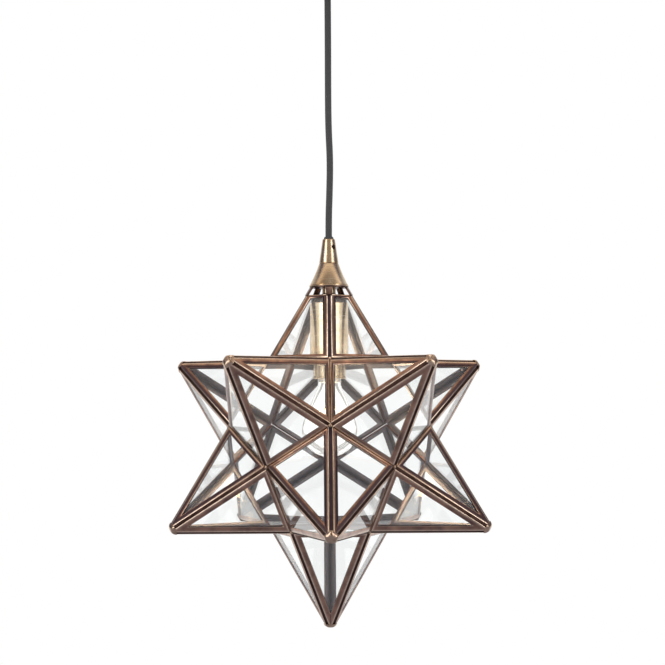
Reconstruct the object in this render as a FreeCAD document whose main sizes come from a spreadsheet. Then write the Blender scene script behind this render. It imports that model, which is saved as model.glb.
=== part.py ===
import FreeCAD, Part
import math
import os
import re
import Sketcher

# A moravian star pendant: a clear glass star of twelve five-sided points in brass channel frames,
# hung by a braided cord from a ceiling rose, with a screw bulb inside and one hinged point at the back.
# Millimetres. +Z is up, and the origin is on the ceiling, above the middle of the star.
# The star is a small stellated dodecahedron with one point straight up. Its pieces are drawn about
# the middle of the star, and their placements lower them by the drop.

SIZES = [
    ("drop", 524.0, "ceiling to the middle of the star"),
    ("tip_radius", 200.0, "middle of the star to the sharp end of a point"),
    ("tip_open", 8.5, "how far short of that sharp end the frames of a point are cut off"),
    ("tip_blunt", 5.2, "how far short of it the rounded solder tip ends"),
    ("tip_round", 2.8, "rounding of a solder tip"),
    ("came_thick", 3.5, "thickness of the brass channel round a pane"),
    ("ridge_rail", 6.3, "width of the channel along a ridge"),
    ("valley_rail", 4.6, "width of the channel along a valley"),
    ("glass_thick", 2.0, "thickness of a pane"),
    ("glass_play", 0.1, "play between a pane and each wall of its channel"),
    ("glass_lap", 4.0, "depth of the slot in a ridge channel"),
    ("valley_lap", 3.0, "depth of the slot in a valley channel"),
    ("edge_play", 0.4, "play between the edge of a pane and the bottom of its slot"),
    ("glass_snip", 5.0, "how far a pane reaches past the window before its sharp corner is snipped"),
    ("crown_drop", 40.7, "sharp end of the upper point down to the top of its glazed part"),
    ("crown_rail", 3.8, "width of the level channel there"),
    ("crown_open", 10.0, "height of the open crown between that and the rim of the cap"),
    ("strut_wide", 7.0, "width of a crown strut"),
    ("strut_deep", 2.4, "depth of a crown strut"),
    ("hub_thick", 1.3, "thickness of the crown plate"),
    ("hub_edge", 0.4, "how far the crown plate stands inside the rim of the cap"),
    ("door_play", 0.35, "gap round the base of the hinged point"),
    ("knuckle_radius", 1.75, "outside radius of a hinge knuckle"),
    ("knuckle_gap", 0.05, "gap from a knuckle to the frames beside it"),
    ("knuckle_length", 11.0, "length of one hinge knuckle"),
    ("knuckle_play", 0.2, "end play between two knuckles"),
    ("pin_radius", 0.8, "radius of the hinge pin"),
    ("pin_play", 0.04, "radial play of the hinge pin"),
    ("rim_over", 2.33, "how far the rim of the cap stands outside the ridges at its level"),
    ("cap_lip", 1.2, "height of the lip at that rim"),
    ("cap_low_height", 25.1, "height of the lower cap cone"),
    ("cap_seam_radius", 10.45, "outside radius at the seam between the two cap cones"),
    ("cap_waist_height", 13.2, "height over the rim where the lower cone is hollowed most"),
    ("cap_waist_radius", 15.1, "outside radius there"),
    ("cap_wall", 1.1, "wall of the lower cap cone"),
    ("cap_high_height", 26.4, "height of the upper cap cone"),
    ("cap_top_radius", 6.4, "outside radius of its top"),
    ("edge_break", 0.6, "bevel at the edges of a turned piece"),
    ("set_angle", 40.0, "angle of the set screw from the front, in degrees"),
    ("set_drop", 8.8, "top of the cap down to the set screw"),
    ("set_radius", 2.5, "radius of the set screw"),
    ("set_length", 2.8, "length of the set screw"),
    ("slot_wide", 0.9, "width of a screwdriver slot"),
    ("slot_deep", 0.9, "depth of a screwdriver slot"),
    ("cord_radius", 3.6, "radius of the braided cord"),
    ("cord_gap", 0.1, "gap under the foot of the free cord"),
    ("core_radius", 1.1, "radius of one core wire of the cord"),
    ("core_circle", 1.5, "distance of the core wires from the middle of the cord"),
    ("core_room", 1.0, "room round the core wires in the lampholder"),
    ("bushing_height", 2.6, "height of the cord bushing"),
    ("bushing_low", 5.3, "radius of the cord bushing at the cap"),
    ("bushing_high", 4.5, "radius of the cord bushing at its top"),
    ("nipple_radius", 5.0, "radius of the threaded tubes"),
    ("nipple_bore", 3.8, "radius of their bore"),
    ("nipple_above", 11.6, "how far the long threaded tube reaches up past the seam of the cap"),
    ("nut_across", 14.0, "width of the hexagon nuts across their flats"),
    ("nut_height", 5.0, "height of a hexagon nut"),
    ("neck_radius", 7.2, "radius of the brass neck under the crown plate"),
    ("neck_length", 6.2, "length of that neck"),
    ("lock_over", 1.0, "how far the lock ring under it stands out"),
    ("lock_height", 10.2, "height of that lock ring, down to the sleeve"),
    ("sleeve_length", 58.6, "length of the brass sleeve over the lampholder"),
    ("sleeve_radius", 20.0, "outside radius of that sleeve"),
    ("sleeve_round", 1.4, "bevel at its top edge"),
    ("sheet_wall", 0.8, "wall of the sleeve and of the collar"),
    ("collar_step", 2.25, "how far the collar under the sleeve stands inside it"),
    ("collar_length", 23.0, "length of that collar below the sleeve"),
    ("collar_lip", 0.6, "how far the foot of the collar is rolled out"),
    ("collar_roll", 1.2, "height of that roll, and of the collar's flange under the sleeve"),
    ("collar_hold", 8.0, "how far the collar reaches up inside the sleeve"),
    ("holder_drop", 25.6, "top of the sleeve down to the shoulder of the lampholder"),
    ("holder_slope", 5.0, "height of that shoulder"),
    ("holder_neck", 8.0, "radius of the threaded neck of the lampholder"),
    ("holder_lift", 2.0, "foot of the collar up to the mouth of the lampholder"),
    ("shell_radius", 13.5, "inside radius of the screw shell"),
    ("shell_wall", 0.5, "wall of the screw shell"),
    ("shell_play", 0.3, "play between the shell and the bulb's screw cap"),
    ("contact_radius", 4.0, "radius of the middle contact"),
    ("contact_thick", 2.4, "height of the middle contact"),
    ("contact_gap", 0.3, "gap from the middle contact to the bulb"),
    ("bulb_drop", 4.0, "foot of the collar down to the lower edge of the bulb's screw cap"),
    ("bulb_cap_height", 22.0, "height of the screw part of that cap"),
    ("bulb_tip_height", 5.0, "height of the bulb's contact over it"),
    ("bulb_cap_wall", 0.6, "wall of the bulb's screw cap"),
    ("bulb_cap_round", 1.0, "bevel at the top of the bulb's screw cap"),
    ("bulb_neck_lap", 2.4, "how far the bulb's glass reaches up into its screw cap"),
    ("bulb_tip_radius", 4.8, "radius of the bulb's contact"),
    ("bulb_length", 80.0, "lower edge of the screw cap down to the end of the bulb"),
    ("bulb_round", 29.5, "radius of the round end of the bulb"),
    ("bulb_hollow", 15.0, "radius of the hollow where the flank of the bulb turns into its neck"),
    ("bulb_glass_wall", 1.0, "wall of the bulb's glass"),
    ("stem_length", 22.0, "length of the glass stem below the screw cap"),
    ("stem_radius", 4.2, "radius of the glass stem"),
    ("filament_drop", 10.0, "lower end of the stem down to the filament's ends"),
    ("filament_reach", 12.0, "half the span of the filament"),
    ("filament_radius", 0.7, "radius of the coiled filament"),
    ("wire_radius", 0.35, "radius of the wires that hold it"),
    ("rose_radius", 50.0, "outside radius of the ceiling rose"),
    ("rose_depth", 26.0, "depth of the ceiling rose"),
    ("rose_round", 4.0, "bevel at the lower edge of the rose"),
    ("rose_wall", 1.2, "wall of the ceiling rose"),
    ("strap_wide", 16.0, "width of the ceiling strap"),
    ("strap_thick", 1.5, "thickness of the ceiling strap"),
    ("strap_gap", 1.0, "gap from the strap's legs to the wall of the rose"),
    ("strap_leg", 15.0, "length of the strap's legs"),
    ("strap_hole", 2.5, "radius of the strap's holes for ceiling screws"),
    ("strap_pitch", 60.0, "distance between those holes"),
    ("side_screw", 1.9, "radius of the screws in the rose's side"),
    ("side_end", 2.0, "how far they reach past the strap's legs"),
    ("side_head", 3.6, "radius of their heads"),
    ("side_head_high", 1.8, "height of their heads"),
    ("side_level", 10.0, "how far they lie below the ceiling"),
    ("grip_height", 13.0, "height of the cord grip under the rose"),
    ("grip_radius", 8.0, "radius of the cord grip at the rose"),
    ("grip_foot", 7.0, "radius of the cord grip at its foot"),
    ("mouth_deep", 3.0, "depth of the flared mouth of the cord grip, below the place where the cord bends"),
    ("mouth_play", 0.3, "play between the cord and that mouth"),
    ("mouth_flare_angle", 26.0, "how far that mouth leans outwards, in degrees"),
    ("bend_room", 1.8, "room over the place where the cord bends"),
    ("grip_nipple", 16.0, "length of the short threaded tube in the rose"),
    ("block_long", 30.0, "length of the terminal block"),
    ("block_wide", 16.0, "width of the terminal block"),
    ("block_high", 11.0, "height of the terminal block"),
    ("terminal_pitch", 9.0, "distance between two terminals"),
    ("terminal_radius", 2.2, "radius of a terminal's screw hole"),
]

document = FreeCAD.newDocument("MoravianStarPendant")
sheet = document.addObject("Spreadsheet::Sheet", "Sizes")
for row, (alias, size, meaning) in enumerate(SIZES, start=1):
    sheet.set(f"A{row}", meaning)
    sheet.set(f"B{row}", str(size))
    sheet.setAlias(f"B{row}", alias)
document.recompute()

# Proportions of the star. A point is a five-sided pyramid whose slopes all follow from the star's form.
BASE_LEVEL = "(tip_radius / sqrt(5))"                      # level of a point's base, along the point
BASE_APOTHEM = "(tip_radius * (5 - sqrt(5)) / 10)"         # point's axis to the middle of a base edge
SLANT = "(tip_radius * (sqrt(5) - 1) / 2)"                 # base edge to the end of the point, on a pane
PANE_RISE = "(2 / sqrt(5))"                                # rise along the point per length along a pane
HALF_APEX = 18.0                                           # half the angle at the sharp end of a pane
PANE_ANGLE = math.degrees(math.atan(2.0))                  # a pane's angle to the base of its point
CREASE_ANGLE = 116.565051                                  # angle between two panes that meet, in degrees
EDGE_INSET = f"(came_thick / 2 / tan({CREASE_ANGLE / 2.0}))"   # keeps two channels apart along a crease
RIDGE_SLOPE = "((sqrt(5) - 1) / 2)"                        # ridge radius per length along the point

POINT_ANGLE = math.degrees(math.atan(2.0))                 # upper points lean this far from straight up
STEP = 72.0                                                # a fifth of a turn


# Levels over the middle of the star and a few radii, each worked out from the piece that it follows. The cap,
# the lampholder and the bulb hang in a chain from the crown of the upper point.
DERIVED = {
    "tip_cut": "(tip_radius - tip_open)",
    "tip_end": "(tip_radius - tip_blunt)",
    "crown_level": "(tip_radius - crown_drop)",
    "rim_level": "(crown_level + crown_open)",
    "rim_radius": f"({RIDGE_SLOPE} * (tip_radius - rim_level) + rim_over)",
    "hub_foot": "(rim_level - hub_thick)",
    "waist_level": "(rim_level + cap_waist_height)",
    "seam_level": "(rim_level + cap_low_height)",
    "cap_top": "(seam_level + cap_high_height)",
    "bushing_top": "(cap_top + bushing_height)",
    "set_level": "(cap_top - set_drop)",
    "nipple_end": "(seam_level + nipple_above)",
    "neck_foot": "(hub_foot - neck_length)",
    "sleeve_top": "(neck_foot - lock_height)",
    "sleeve_foot": "(sleeve_top - sleeve_length)",
    "collar_foot": "(sleeve_foot - collar_length)",
    "collar_radius": "(sleeve_radius - collar_step)",
    "holder_top": "(sleeve_top - holder_drop)",
    "holder_foot": "(collar_foot + holder_lift)",
    "core_bore": "(core_circle + core_radius + core_room)",
    "bulb_skirt": "(collar_foot - bulb_drop)",
    "bulb_cap_top": "(bulb_skirt + bulb_cap_height)",
    "bulb_end": "(bulb_cap_top + bulb_tip_height)",
    "bulb_cap_radius": "(shell_radius - shell_play)",
    "bulb_neck": "(bulb_cap_radius - bulb_cap_wall)",
    "stem_foot": "(bulb_skirt - stem_length)",
    "strap_end": "(rose_radius - rose_wall - strap_gap)",
    "grip_end": "(-rose_depth - grip_height)",
    "grip_shelf": "(-rose_depth - grip_height / 2)",
    "bend_level": "(grip_end + mouth_deep)",
    "bend_top": "(bend_level + bend_room)",
    "mouth_radius": "(cord_radius / cos(mouth_flare_angle) + mouth_play)",
}
ALIASES = {alias for alias, size, meaning in SIZES}


def sized(text):
    """An expression in which each size is read from the sheet, and each derived one is written out."""
    def full(match):
        word = match.group()
        if word in DERIVED:
            return sized(DERIVED[word])
        return f"Sizes.{word}" if word in ALIASES else word

    return re.sub(r"[a-z_]+", full, text)


def bind(thing, name, text):
    thing.setExpression(name, sized(text))


def value(alias):
    return float(sheet.get(alias))


# ---------------------------------------------------------------- sketches and bodies
sub_parts = []


def new_body(label, lowered=True):
    body = document.addObject("PartDesign::Body", label)
    body.Label = label
    body.AllowCompound = True
    if lowered:
        bind(body, "Placement.Base.z", "-drop")
    return body


def keep(thing):
    """A finished sub-part, which gets a file of its own."""
    sub_parts.append(thing)
    return thing


def origin_part(body, role):
    return next(part for part in body.Origin.OriginFeatures if part.Role == role)


def new_sketch(body, plane="XZ_Plane", height="0"):
    sketch = body.newObject("Sketcher::SketchObject", "Sketch")
    sketch.AttachmentSupport = [(origin_part(body, plane), "")]
    sketch.MapMode = "FlatFace"
    bind(sketch, "AttachmentOffset.Base.z", height)
    return sketch


def locate(sketch, index, x, y):
    """Fixes the start of a sketch line at a place given by two expressions."""
    for kind, text in (("DistanceX", x), ("DistanceY", y)):
        number = sketch.addConstraint(Sketcher.Constraint(kind, -1, 1, index, 1, 1.0))
        bind(sketch, f"Constraints[{number}]", text)


def polygon(sketch, corners):
    """A closed outline of straight lines through corners, each a pair of expressions."""
    count = len(corners)
    turns = [math.tau * i / count for i in range(count)]
    spots = [FreeCAD.Vector(math.cos(turn), math.sin(turn), 0) for turn in turns]
    first = sketch.GeometryCount
    for i in range(count):
        sketch.addGeometry(Part.LineSegment(spots[i], spots[(i + 1) % count]))
    for i in range(count):
        sketch.addConstraint(Sketcher.Constraint("Coincident", first + i, 2, first + (i + 1) % count, 1))
    for i, (x, y) in enumerate(corners):
        locate(sketch, first + i, x, y)
    return sketch


def circle(sketch, x, y, radius):
    index = sketch.addGeometry(Part.Circle(FreeCAD.Vector(1, 1, 0), FreeCAD.Vector(0, 0, 1), 1.0))
    for kind, text in (("DistanceX", x), ("DistanceY", y)):
        number = sketch.addConstraint(Sketcher.Constraint(kind, -1, 1, index, 3, 1.0))
        bind(sketch, f"Constraints[{number}]", text)
    number = sketch.addConstraint(Sketcher.Constraint("Radius", index, 1.0))
    bind(sketch, f"Constraints[{number}]", radius)
    return sketch


def rectangle(sketch, x, y, wide, high):
    """A rectangle about the place x, y."""
    left, right = f"{x} - ({wide}) / 2", f"{x} + ({wide}) / 2"
    low, top = f"{y} - ({high}) / 2", f"{y} + ({high}) / 2"
    return polygon(sketch, [(left, low), (right, low), (right, top), (left, top)])


def pad(body, sketch, length, both_ways=False, reverse=False):
    feature = body.newObject("PartDesign::Pad", "Pad")
    feature.Profile = sketch
    feature.Midplane = both_ways
    feature.Reversed = reverse
    bind(feature, "Length", length)
    return feature


def pocket(body, sketch, length=None, both_ways=False, reverse=False):
    """A pocket of the given length, or right through."""
    feature = body.newObject("PartDesign::Pocket", "Pocket")
    feature.Profile = sketch
    feature.Midplane = both_ways
    feature.Reversed = reverse
    if length is None:
        feature.Type = "ThroughAll"
    else:
        bind(feature, "Length", length)
    return feature


def pattern(body, originals, count):
    """Repeats features evenly round the body's Z axis."""
    feature = body.newObject("PartDesign::PolarPattern", "PolarPattern")
    feature.Originals = originals
    feature.Axis = (origin_part(body, "Z_Axis"), [""])
    feature.Angle = 360.0
    feature.Occurrences = count
    body.Tip = feature
    return feature


def turn(body, corners):
    """A revolved solid whose outline has the given corners, each a radius and a level."""
    sketch = polygon(new_sketch(body), corners)
    feature = body.newObject("PartDesign::Revolution", "Revolution")
    feature.Profile = sketch
    feature.ReferenceAxis = (sketch, ["V_Axis"])
    feature.Angle = 360.0
    return feature


def turned(label, corners, lowered=True):
    body = new_body(label, lowered)
    turn(body, corners)
    return keep(body)


def tube(label, radius, bore, low, top, lowered=True):
    return turned(label, [(bore, low), (radius, low), (radius, top), (bore, top)], lowered)


# ---------------------------------------------------------------- the points of the star
def point_rotation(azimuth, tilt, spin):
    """Turns the Z axis to the way that a point looks. Azimuth 0 is the front, and 90 the right."""
    about_z = FreeCAD.Rotation(FreeCAD.Vector(0, 0, 1), azimuth - 90.0)
    lean = FreeCAD.Rotation(FreeCAD.Vector(0, 1, 0), tilt)
    about_point = FreeCAD.Rotation(FreeCAD.Vector(0, 0, 1), spin)
    return about_z.multiply(lean).multiply(about_point)


POINTS = {
    "top": (0.0, 0.0, 0.0),
    "upper_front_right": (36.0, POINT_ANGLE, 0.0),
    "upper_right": (108.0, POINT_ANGLE, 0.0),
    "upper_rear": (180.0, POINT_ANGLE, 0.0),
    "upper_left": (-108.0, POINT_ANGLE, 0.0),
    "upper_front_left": (-36.0, POINT_ANGLE, 0.0),
    "lower_front": (0.0, 180.0 - POINT_ANGLE, 180.0),
    "lower_right": (72.0, 180.0 - POINT_ANGLE, 180.0),
    "lower_rear_right": (144.0, 180.0 - POINT_ANGLE, 180.0),
    "lower_rear_left": (-144.0, 180.0 - POINT_ANGLE, 180.0),
    "lower_left": (-72.0, 180.0 - POINT_ANGLE, 180.0),
    "bottom": (0.0, 180.0, 0.0),
}
DOOR = "upper_rear"


def pane_sketch(body):
    """A sketch on the middle plane of one pane, with its origin at the middle of the pane's base edge."""
    sketch = new_sketch(body, "XY_Plane", BASE_LEVEL)
    facing = FreeCAD.Rotation(FreeCAD.Vector(0, 0, 1), STEP / 2.0 + 90.0)
    leaning = FreeCAD.Rotation(FreeCAD.Vector(1, 0, 0), PANE_ANGLE)
    sketch.AttachmentOffset = FreeCAD.Placement(FreeCAD.Vector(), facing.multiply(leaning))
    bind(sketch, "AttachmentOffset.Base.x", f"{BASE_APOTHEM} * cos({STEP / 2.0})")
    bind(sketch, "AttachmentOffset.Base.y", f"{BASE_APOTHEM} * sin({STEP / 2.0})")
    bind(sketch, "AttachmentOffset.Base.z", BASE_LEVEL)
    return sketch


def pane_outline(body, side, base, top=None):
    """The pane's triangle, moved in by side along its ridges and by base at its base edge, and cut off
    square at the distance top from the base edge, where that is given."""
    apex = f"({SLANT} - ({side}) / sin({HALF_APEX}))"
    half = f"(({apex} - ({base})) * tan({HALF_APEX}))"
    corners = [(f"-{half}", base), (half, base)]
    if top is None:
        corners.append(("0", apex))
    else:
        half_top = f"(({apex} - ({top})) * tan({HALF_APEX}))"
        corners += [(half_top, top), (f"-{half_top}", top)]
    return polygon(pane_sketch(body), corners)


SLOT_SIDE = f"{EDGE_INSET} + ridge_rail - glass_lap"
SLOT_TOP = f"{SLANT} - ({EDGE_INSET} + ridge_rail) / sin({HALF_APEX}) + glass_snip"
CROWN_ON_PANE = f"((crown_level - {BASE_LEVEL}) / {PANE_RISE})"


def point_frames(name, base_play="0"):
    """Five brass channels, one round each pane of a point. They are cut off level at the point's end."""
    body = new_body(f"{name}_frames")
    base = f"{EDGE_INSET} + {base_play}"
    end, window_top, slot_top = "tip_cut", None, SLOT_TOP
    if name == "top_point":
        end = "crown_level"
        window_top = f"{CROWN_ON_PANE} - crown_rail"
        slot_top = f"{window_top} + valley_lap"
    ring = pad(body, pane_outline(body, EDGE_INSET, base), "came_thick", both_ways=True)
    window_side = f"{EDGE_INSET} + ridge_rail"
    window_outline = pane_outline(body, window_side, f"{base} + valley_rail", window_top)
    window = pocket(body, window_outline, "came_thick", both_ways=True)
    slot_base = f"{base} + valley_rail - valley_lap"
    slot_wide = "glass_thick + 2 * glass_play"
    slot = pocket(body, pane_outline(body, SLOT_SIDE, slot_base, slot_top), slot_wide, both_ways=True)
    pattern(body, [ring, window, slot], 5)
    pocket(body, circle(new_sketch(body, "XY_Plane", end), "0", "0", "tip_radius"), reverse=True)
    return body


def point_panes(name, base_play="0"):
    """The five glass panes of a point, each in the slot of its channel."""
    body = new_body(f"{name}_panes")
    base = f"{EDGE_INSET} + {base_play} + valley_rail - valley_lap + edge_play"
    top = f"{SLOT_TOP} - edge_play"
    if name == "top_point":
        top = f"{CROWN_ON_PANE} - crown_rail + valley_lap - edge_play"
    pane = pad(body, pane_outline(body, f"{SLOT_SIDE} + edge_play", base, top), "glass_thick", both_ways=True)
    pattern(body, [pane], 5)
    return body


def point_tip(name):
    """The rounded solder tip of a point, on the cut ends of its five frames."""
    body = new_body(f"{name}_tip")
    reach = "tip_radius + came_thick * sqrt(5) / 2"
    low, high = f"({reach} - tip_cut) / 2", f"({reach} - tip_end) / 2"
    cone = turn(body, [("0", "tip_cut"), (low, "tip_cut"), (high, "tip_end"), ("0", "tip_end")])
    document.recompute()
    circles = [
        (edge.CenterOfMass.z, number)
        for number, edge in enumerate(cone.Shape.Edges, start=1)
        if isinstance(edge.Curve, Part.Circle)
    ]
    fillet = body.newObject("PartDesign::Fillet", "Fillet")
    fillet.Base = (cone, [f"Edge{max(circles)[1]}"])
    bind(fillet, "Radius", "tip_round")
    body.Tip = fillet
    return body


tips = []
for point, directions in POINTS.items():
    is_door = point == DOOR
    name = "door_point" if is_door else f"{point}_point"
    play = "door_play" if is_door else "0"
    pieces = [keep(point_frames(name, play)), keep(point_panes(name, play))]
    if point != "top":
        tip = point_tip(name)
        pieces.append(tip)
        if is_door:
            keep(tip)
        else:
            tips.append(tip)
    for piece in pieces:
        piece.Placement.Rotation = point_rotation(*directions)

solder_tips = document.addObject("Part::Compound", "solder_tips")
solder_tips.Links = tips
keep(solder_tips)


# ---------------------------------------------------------------- the crown that carries the star
def crown_struts():
    """Five bars along the ridges, from the glazed part of the upper point up to the crown plate."""
    body = new_body("crown_struts")
    sections = []
    for level in ("crown_level", "hub_foot"):
        sketch = new_sketch(body, "XY_Plane", level)
        ridge = f"({RIDGE_SLOPE} * (tip_radius - ({level})))"
        sections.append(rectangle(sketch, ridge, "0", "strut_deep", "strut_wide"))
    loft = body.newObject("PartDesign::AdditiveLoft", "AdditiveLoft")
    loft.Profile = sections[0]
    loft.Sections = [sections[1]]
    loft.Ruled = True
    pattern(body, [loft], 5)
    body.Placement.Rotation = point_rotation(*POINTS["top"])
    return keep(body)


def hexagon_nut(label, foot, lowered=True):
    body = new_body(label, lowered)
    sketch = new_sketch(body, "XY_Plane", foot)
    corner = "(nut_across / 2 / cos(30))"
    polygon(sketch, [(f"{corner} * cos({60 * i})", f"{corner} * sin({60 * i})") for i in range(6)])
    circle(sketch, "0", "0", "nipple_radius")
    pad(body, sketch, "nut_height")
    return keep(body)


def lower_cap():
    """The spun lower cone, open underneath, with a lip at its rim and an inside that follows the outside."""
    outside = [
        ("rim_radius", "rim_level"),
        ("rim_radius", "rim_level + cap_lip"),
        ("rim_radius - cap_lip / 2", "rim_level + cap_lip * 1.3"),
        ("cap_waist_radius", "waist_level"),
        ("cap_seam_radius", "seam_level"),
    ]
    inside = [
        ("cap_seam_radius - 2 * cap_wall", "seam_level"),
        ("cap_seam_radius - cap_wall", "seam_level - cap_wall"),
        ("cap_waist_radius - cap_wall", "waist_level - cap_wall / 2"),
        ("rim_radius - cap_wall - cap_lip / 2", "rim_level + cap_lip"),
        ("rim_radius - cap_wall", "rim_level"),
    ]
    return turned("cap_lower_cone", outside + inside)


def upper_cap():
    """The turned upper cone, screwed on the threaded tube. A set screw in its side grips the cord."""
    body = new_body("cap_upper_cone")
    turn(body, [
        ("nipple_radius", "seam_level"),
        ("cap_seam_radius - edge_break", "seam_level"),
        ("cap_seam_radius", "seam_level + edge_break"),
        ("cap_top_radius + edge_break / 2", "cap_top - edge_break"),
        ("cap_top_radius", "cap_top"),
        ("cord_radius", "cap_top"),
        ("cord_radius", "nipple_end"),
        ("nipple_radius", "nipple_end"),
    ])
    pocket(body, circle(new_sketch(body), "0", "set_level", "set_radius"), "cap_seam_radius", reverse=True)
    body.Placement.Rotation = FreeCAD.Rotation(FreeCAD.Vector(0, 0, 1), value("set_angle"))
    return keep(body)


def slotted_pin(label, x, level, radius, start, length, lowered=True, head=None):
    """A slotted screw that lies along -Y from the distance start, with a wider head where one is given."""
    body = new_body(label, lowered)
    pad(body, circle(new_sketch(body, height=start), x, level, radius), length)
    end = f"({start}) + ({length})"
    if head:
        head_radius, head_high = head
        pad(body, circle(new_sketch(body, height=end), x, level, head_radius), head_high)
        end = f"{end} + ({head_high})"
        radius = head_radius
    slot = rectangle(new_sketch(body, height=end), x, level, "slot_wide", f"3 * ({radius})")
    pocket(body, slot, "slot_deep")
    return body


def set_screw():
    body = slotted_pin("cap_set_screw", "0", "set_level", "set_radius", "cord_radius", "set_length")
    body.Placement.Rotation = FreeCAD.Rotation(FreeCAD.Vector(0, 0, 1), value("set_angle"))
    return keep(body)


crown_struts()
tube("crown_plate", "rim_radius - hub_edge", "nipple_radius", "hub_foot", "rim_level")
hexagon_nut("crown_nut", "rim_level")
lower_cap()
upper_cap()
set_screw()
tube("cap_threaded_tube", "nipple_radius", "nipple_bore", "holder_top", "nipple_end")
turned("cord_bushing", [
    ("cord_radius", "cap_top"),
    ("bushing_low", "cap_top"),
    ("bushing_low", "cap_top + bushing_height / 3"),
    ("bushing_high", "bushing_top"),
    ("cord_radius", "bushing_top"),
])
tube("brass_neck", "neck_radius", "nipple_radius", "neck_foot", "hub_foot")
turned("neck_lock_ring", [
    ("nipple_radius", "sleeve_top"),
    ("neck_radius + lock_over", "sleeve_top"),
    ("neck_radius + lock_over", "neck_foot - lock_over"),
    ("neck_radius", "neck_foot"),
    ("nipple_radius", "neck_foot"),
])


# ---------------------------------------------------------------- the cord's end and the lampholder
def cord_end():
    """The end of the cord inside the cap, and its three core wires down to the lampholder."""
    body = new_body("cord_end_and_wires")
    cover = new_sketch(body, "XY_Plane", "nipple_end")
    pad(body, circle(cover, "0", "0", "cord_radius"), "bushing_top - nipple_end")
    core = new_sketch(body, "XY_Plane", "holder_top")
    wire = pad(body, circle(core, "core_circle", "0", "core_radius"), "nipple_end - holder_top")
    pattern(body, [wire], 3)
    return keep(body)


def lampholder():
    """The moulded lampholder: a threaded neck, a shoulder and a bore for the screw shell."""
    bore = "shell_radius + shell_wall"
    ceiling = "bulb_end + contact_gap + contact_thick"
    under_sleeve = "sleeve_top - sheet_wall - sleeve_round / 2"
    return turned("lampholder_body", [
        ("core_bore", "holder_top"),
        ("nipple_radius", "holder_top"),
        ("nipple_radius", under_sleeve),
        ("holder_neck", under_sleeve),
        ("holder_neck", "holder_top + holder_slope"),
        ("collar_radius - sheet_wall", "holder_top - holder_slope"),
        ("collar_radius - sheet_wall", "holder_foot"),
        (bore, "holder_foot"),
        (bore, ceiling),
        ("core_bore", ceiling),
    ])


cord_end()
turned("socket_sleeve", [
    ("nipple_radius", "sleeve_top - sheet_wall"),
    ("sleeve_radius - sheet_wall", "sleeve_top - sheet_wall - sleeve_round / 2"),
    ("sleeve_radius - sheet_wall", "sleeve_foot"),
    ("sleeve_radius", "sleeve_foot"),
    ("sleeve_radius", "sleeve_top - sleeve_round"),
    ("sleeve_radius - sleeve_round", "sleeve_top"),
    ("nipple_radius", "sleeve_top"),
])
turned("socket_collar", [
    ("collar_radius - sheet_wall", "collar_foot + collar_roll"),
    ("collar_radius - sheet_wall / 2", "collar_foot"),
    ("collar_radius + collar_lip", "collar_foot"),
    ("collar_radius + collar_lip", "collar_foot + collar_roll"),
    ("collar_radius", "collar_foot + 2 * collar_roll"),
    ("collar_radius", "sleeve_foot"),
    ("sleeve_radius", "sleeve_foot - collar_roll"),
    ("sleeve_radius", "sleeve_foot"),
    ("sleeve_radius - sheet_wall", "sleeve_foot"),
    ("collar_radius", "sleeve_foot + collar_roll"),
    ("collar_radius", "sleeve_foot + collar_hold"),
    ("collar_radius - sheet_wall", "sleeve_foot + collar_hold"),
])
lampholder()
CONTACT_FOOT = "(bulb_end + contact_gap)"
CONTACT_TOP = f"({CONTACT_FOOT} + contact_thick)"
tube("screw_shell", "shell_radius + shell_wall", "shell_radius", "holder_foot + holder_lift", CONTACT_FOOT)
tube("middle_contact", "contact_radius", "contact_radius / 4", CONTACT_FOOT, CONTACT_TOP)


# ---------------------------------------------------------------- the bulb
def bulb_outline(inset):
    """The bulb's neck, its hollow, its straight flank and its round end, moved in by inset. Heights are over
    the lower edge of the screw cap, where the hollow starts. The flank leans so that it touches both the
    hollow and the round end. It gives the ends of the four runs, and a point on each arc."""
    neck = value("shell_radius") - value("shell_play") - value("bulb_cap_wall") - inset
    end_radius = value("bulb_round") - inset
    hollow = value("bulb_hollow") + inset
    middle = value("bulb_round") - value("bulb_length")
    apart = math.hypot(neck + hollow, middle)
    lean = math.atan2(-middle, neck + hollow) - math.acos((end_radius + hollow) / apart)

    def on_hollow(angle):
        return neck + hollow * (1 - math.cos(angle)), -hollow * math.sin(angle)

    def on_end(angle):
        return end_radius * math.cos(angle), middle + end_radius * math.sin(angle)

    top = (neck, value("bulb_neck_lap"))
    ends = [top, on_hollow(0.0), on_hollow(lean), on_end(lean), on_end(-math.pi / 2)]
    return ends, on_hollow(lean / 2), on_end((lean - math.pi / 2) / 2)


def spot(place):
    return FreeCAD.Vector(place[0], 0, place[1])


def hung_shape(label, shape):
    """A shape drawn about the lower edge of the bulb's screw cap, hung at its level."""
    feature = document.addObject("Part::Feature", label)
    feature.Shape = shape
    bind(feature, "Placement.Base.z", "bulb_skirt - drop")
    return keep(feature)


def bulb_glass():
    """The blown glass, hollow, with its neck inside the screw cap."""
    edges = []
    skins = []
    for inset in (0.0, value("bulb_glass_wall")):
        ends, in_hollow, in_end = bulb_outline(inset)
        top, shoulder, flank_top, flank_foot, lowest = [spot(place) for place in ends]
        edges.append(Part.LineSegment(top, shoulder).toShape())
        edges.append(Part.Arc(shoulder, spot(in_hollow), flank_top).toShape())
        edges.append(Part.LineSegment(flank_top, flank_foot).toShape())
        edges.append(Part.Arc(flank_foot, spot(in_end), lowest).toShape())
        skins.append((top, lowest))
    for outer, inner in zip(*skins):
        edges.append(Part.LineSegment(outer, inner).toShape())
    wire = Part.Wire(Part.sortEdges(edges)[0])
    return hung_shape("bulb_glass", Part.Face(wire).revolve(FreeCAD.Vector(), FreeCAD.Vector(0, 0, 1), 360))


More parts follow.
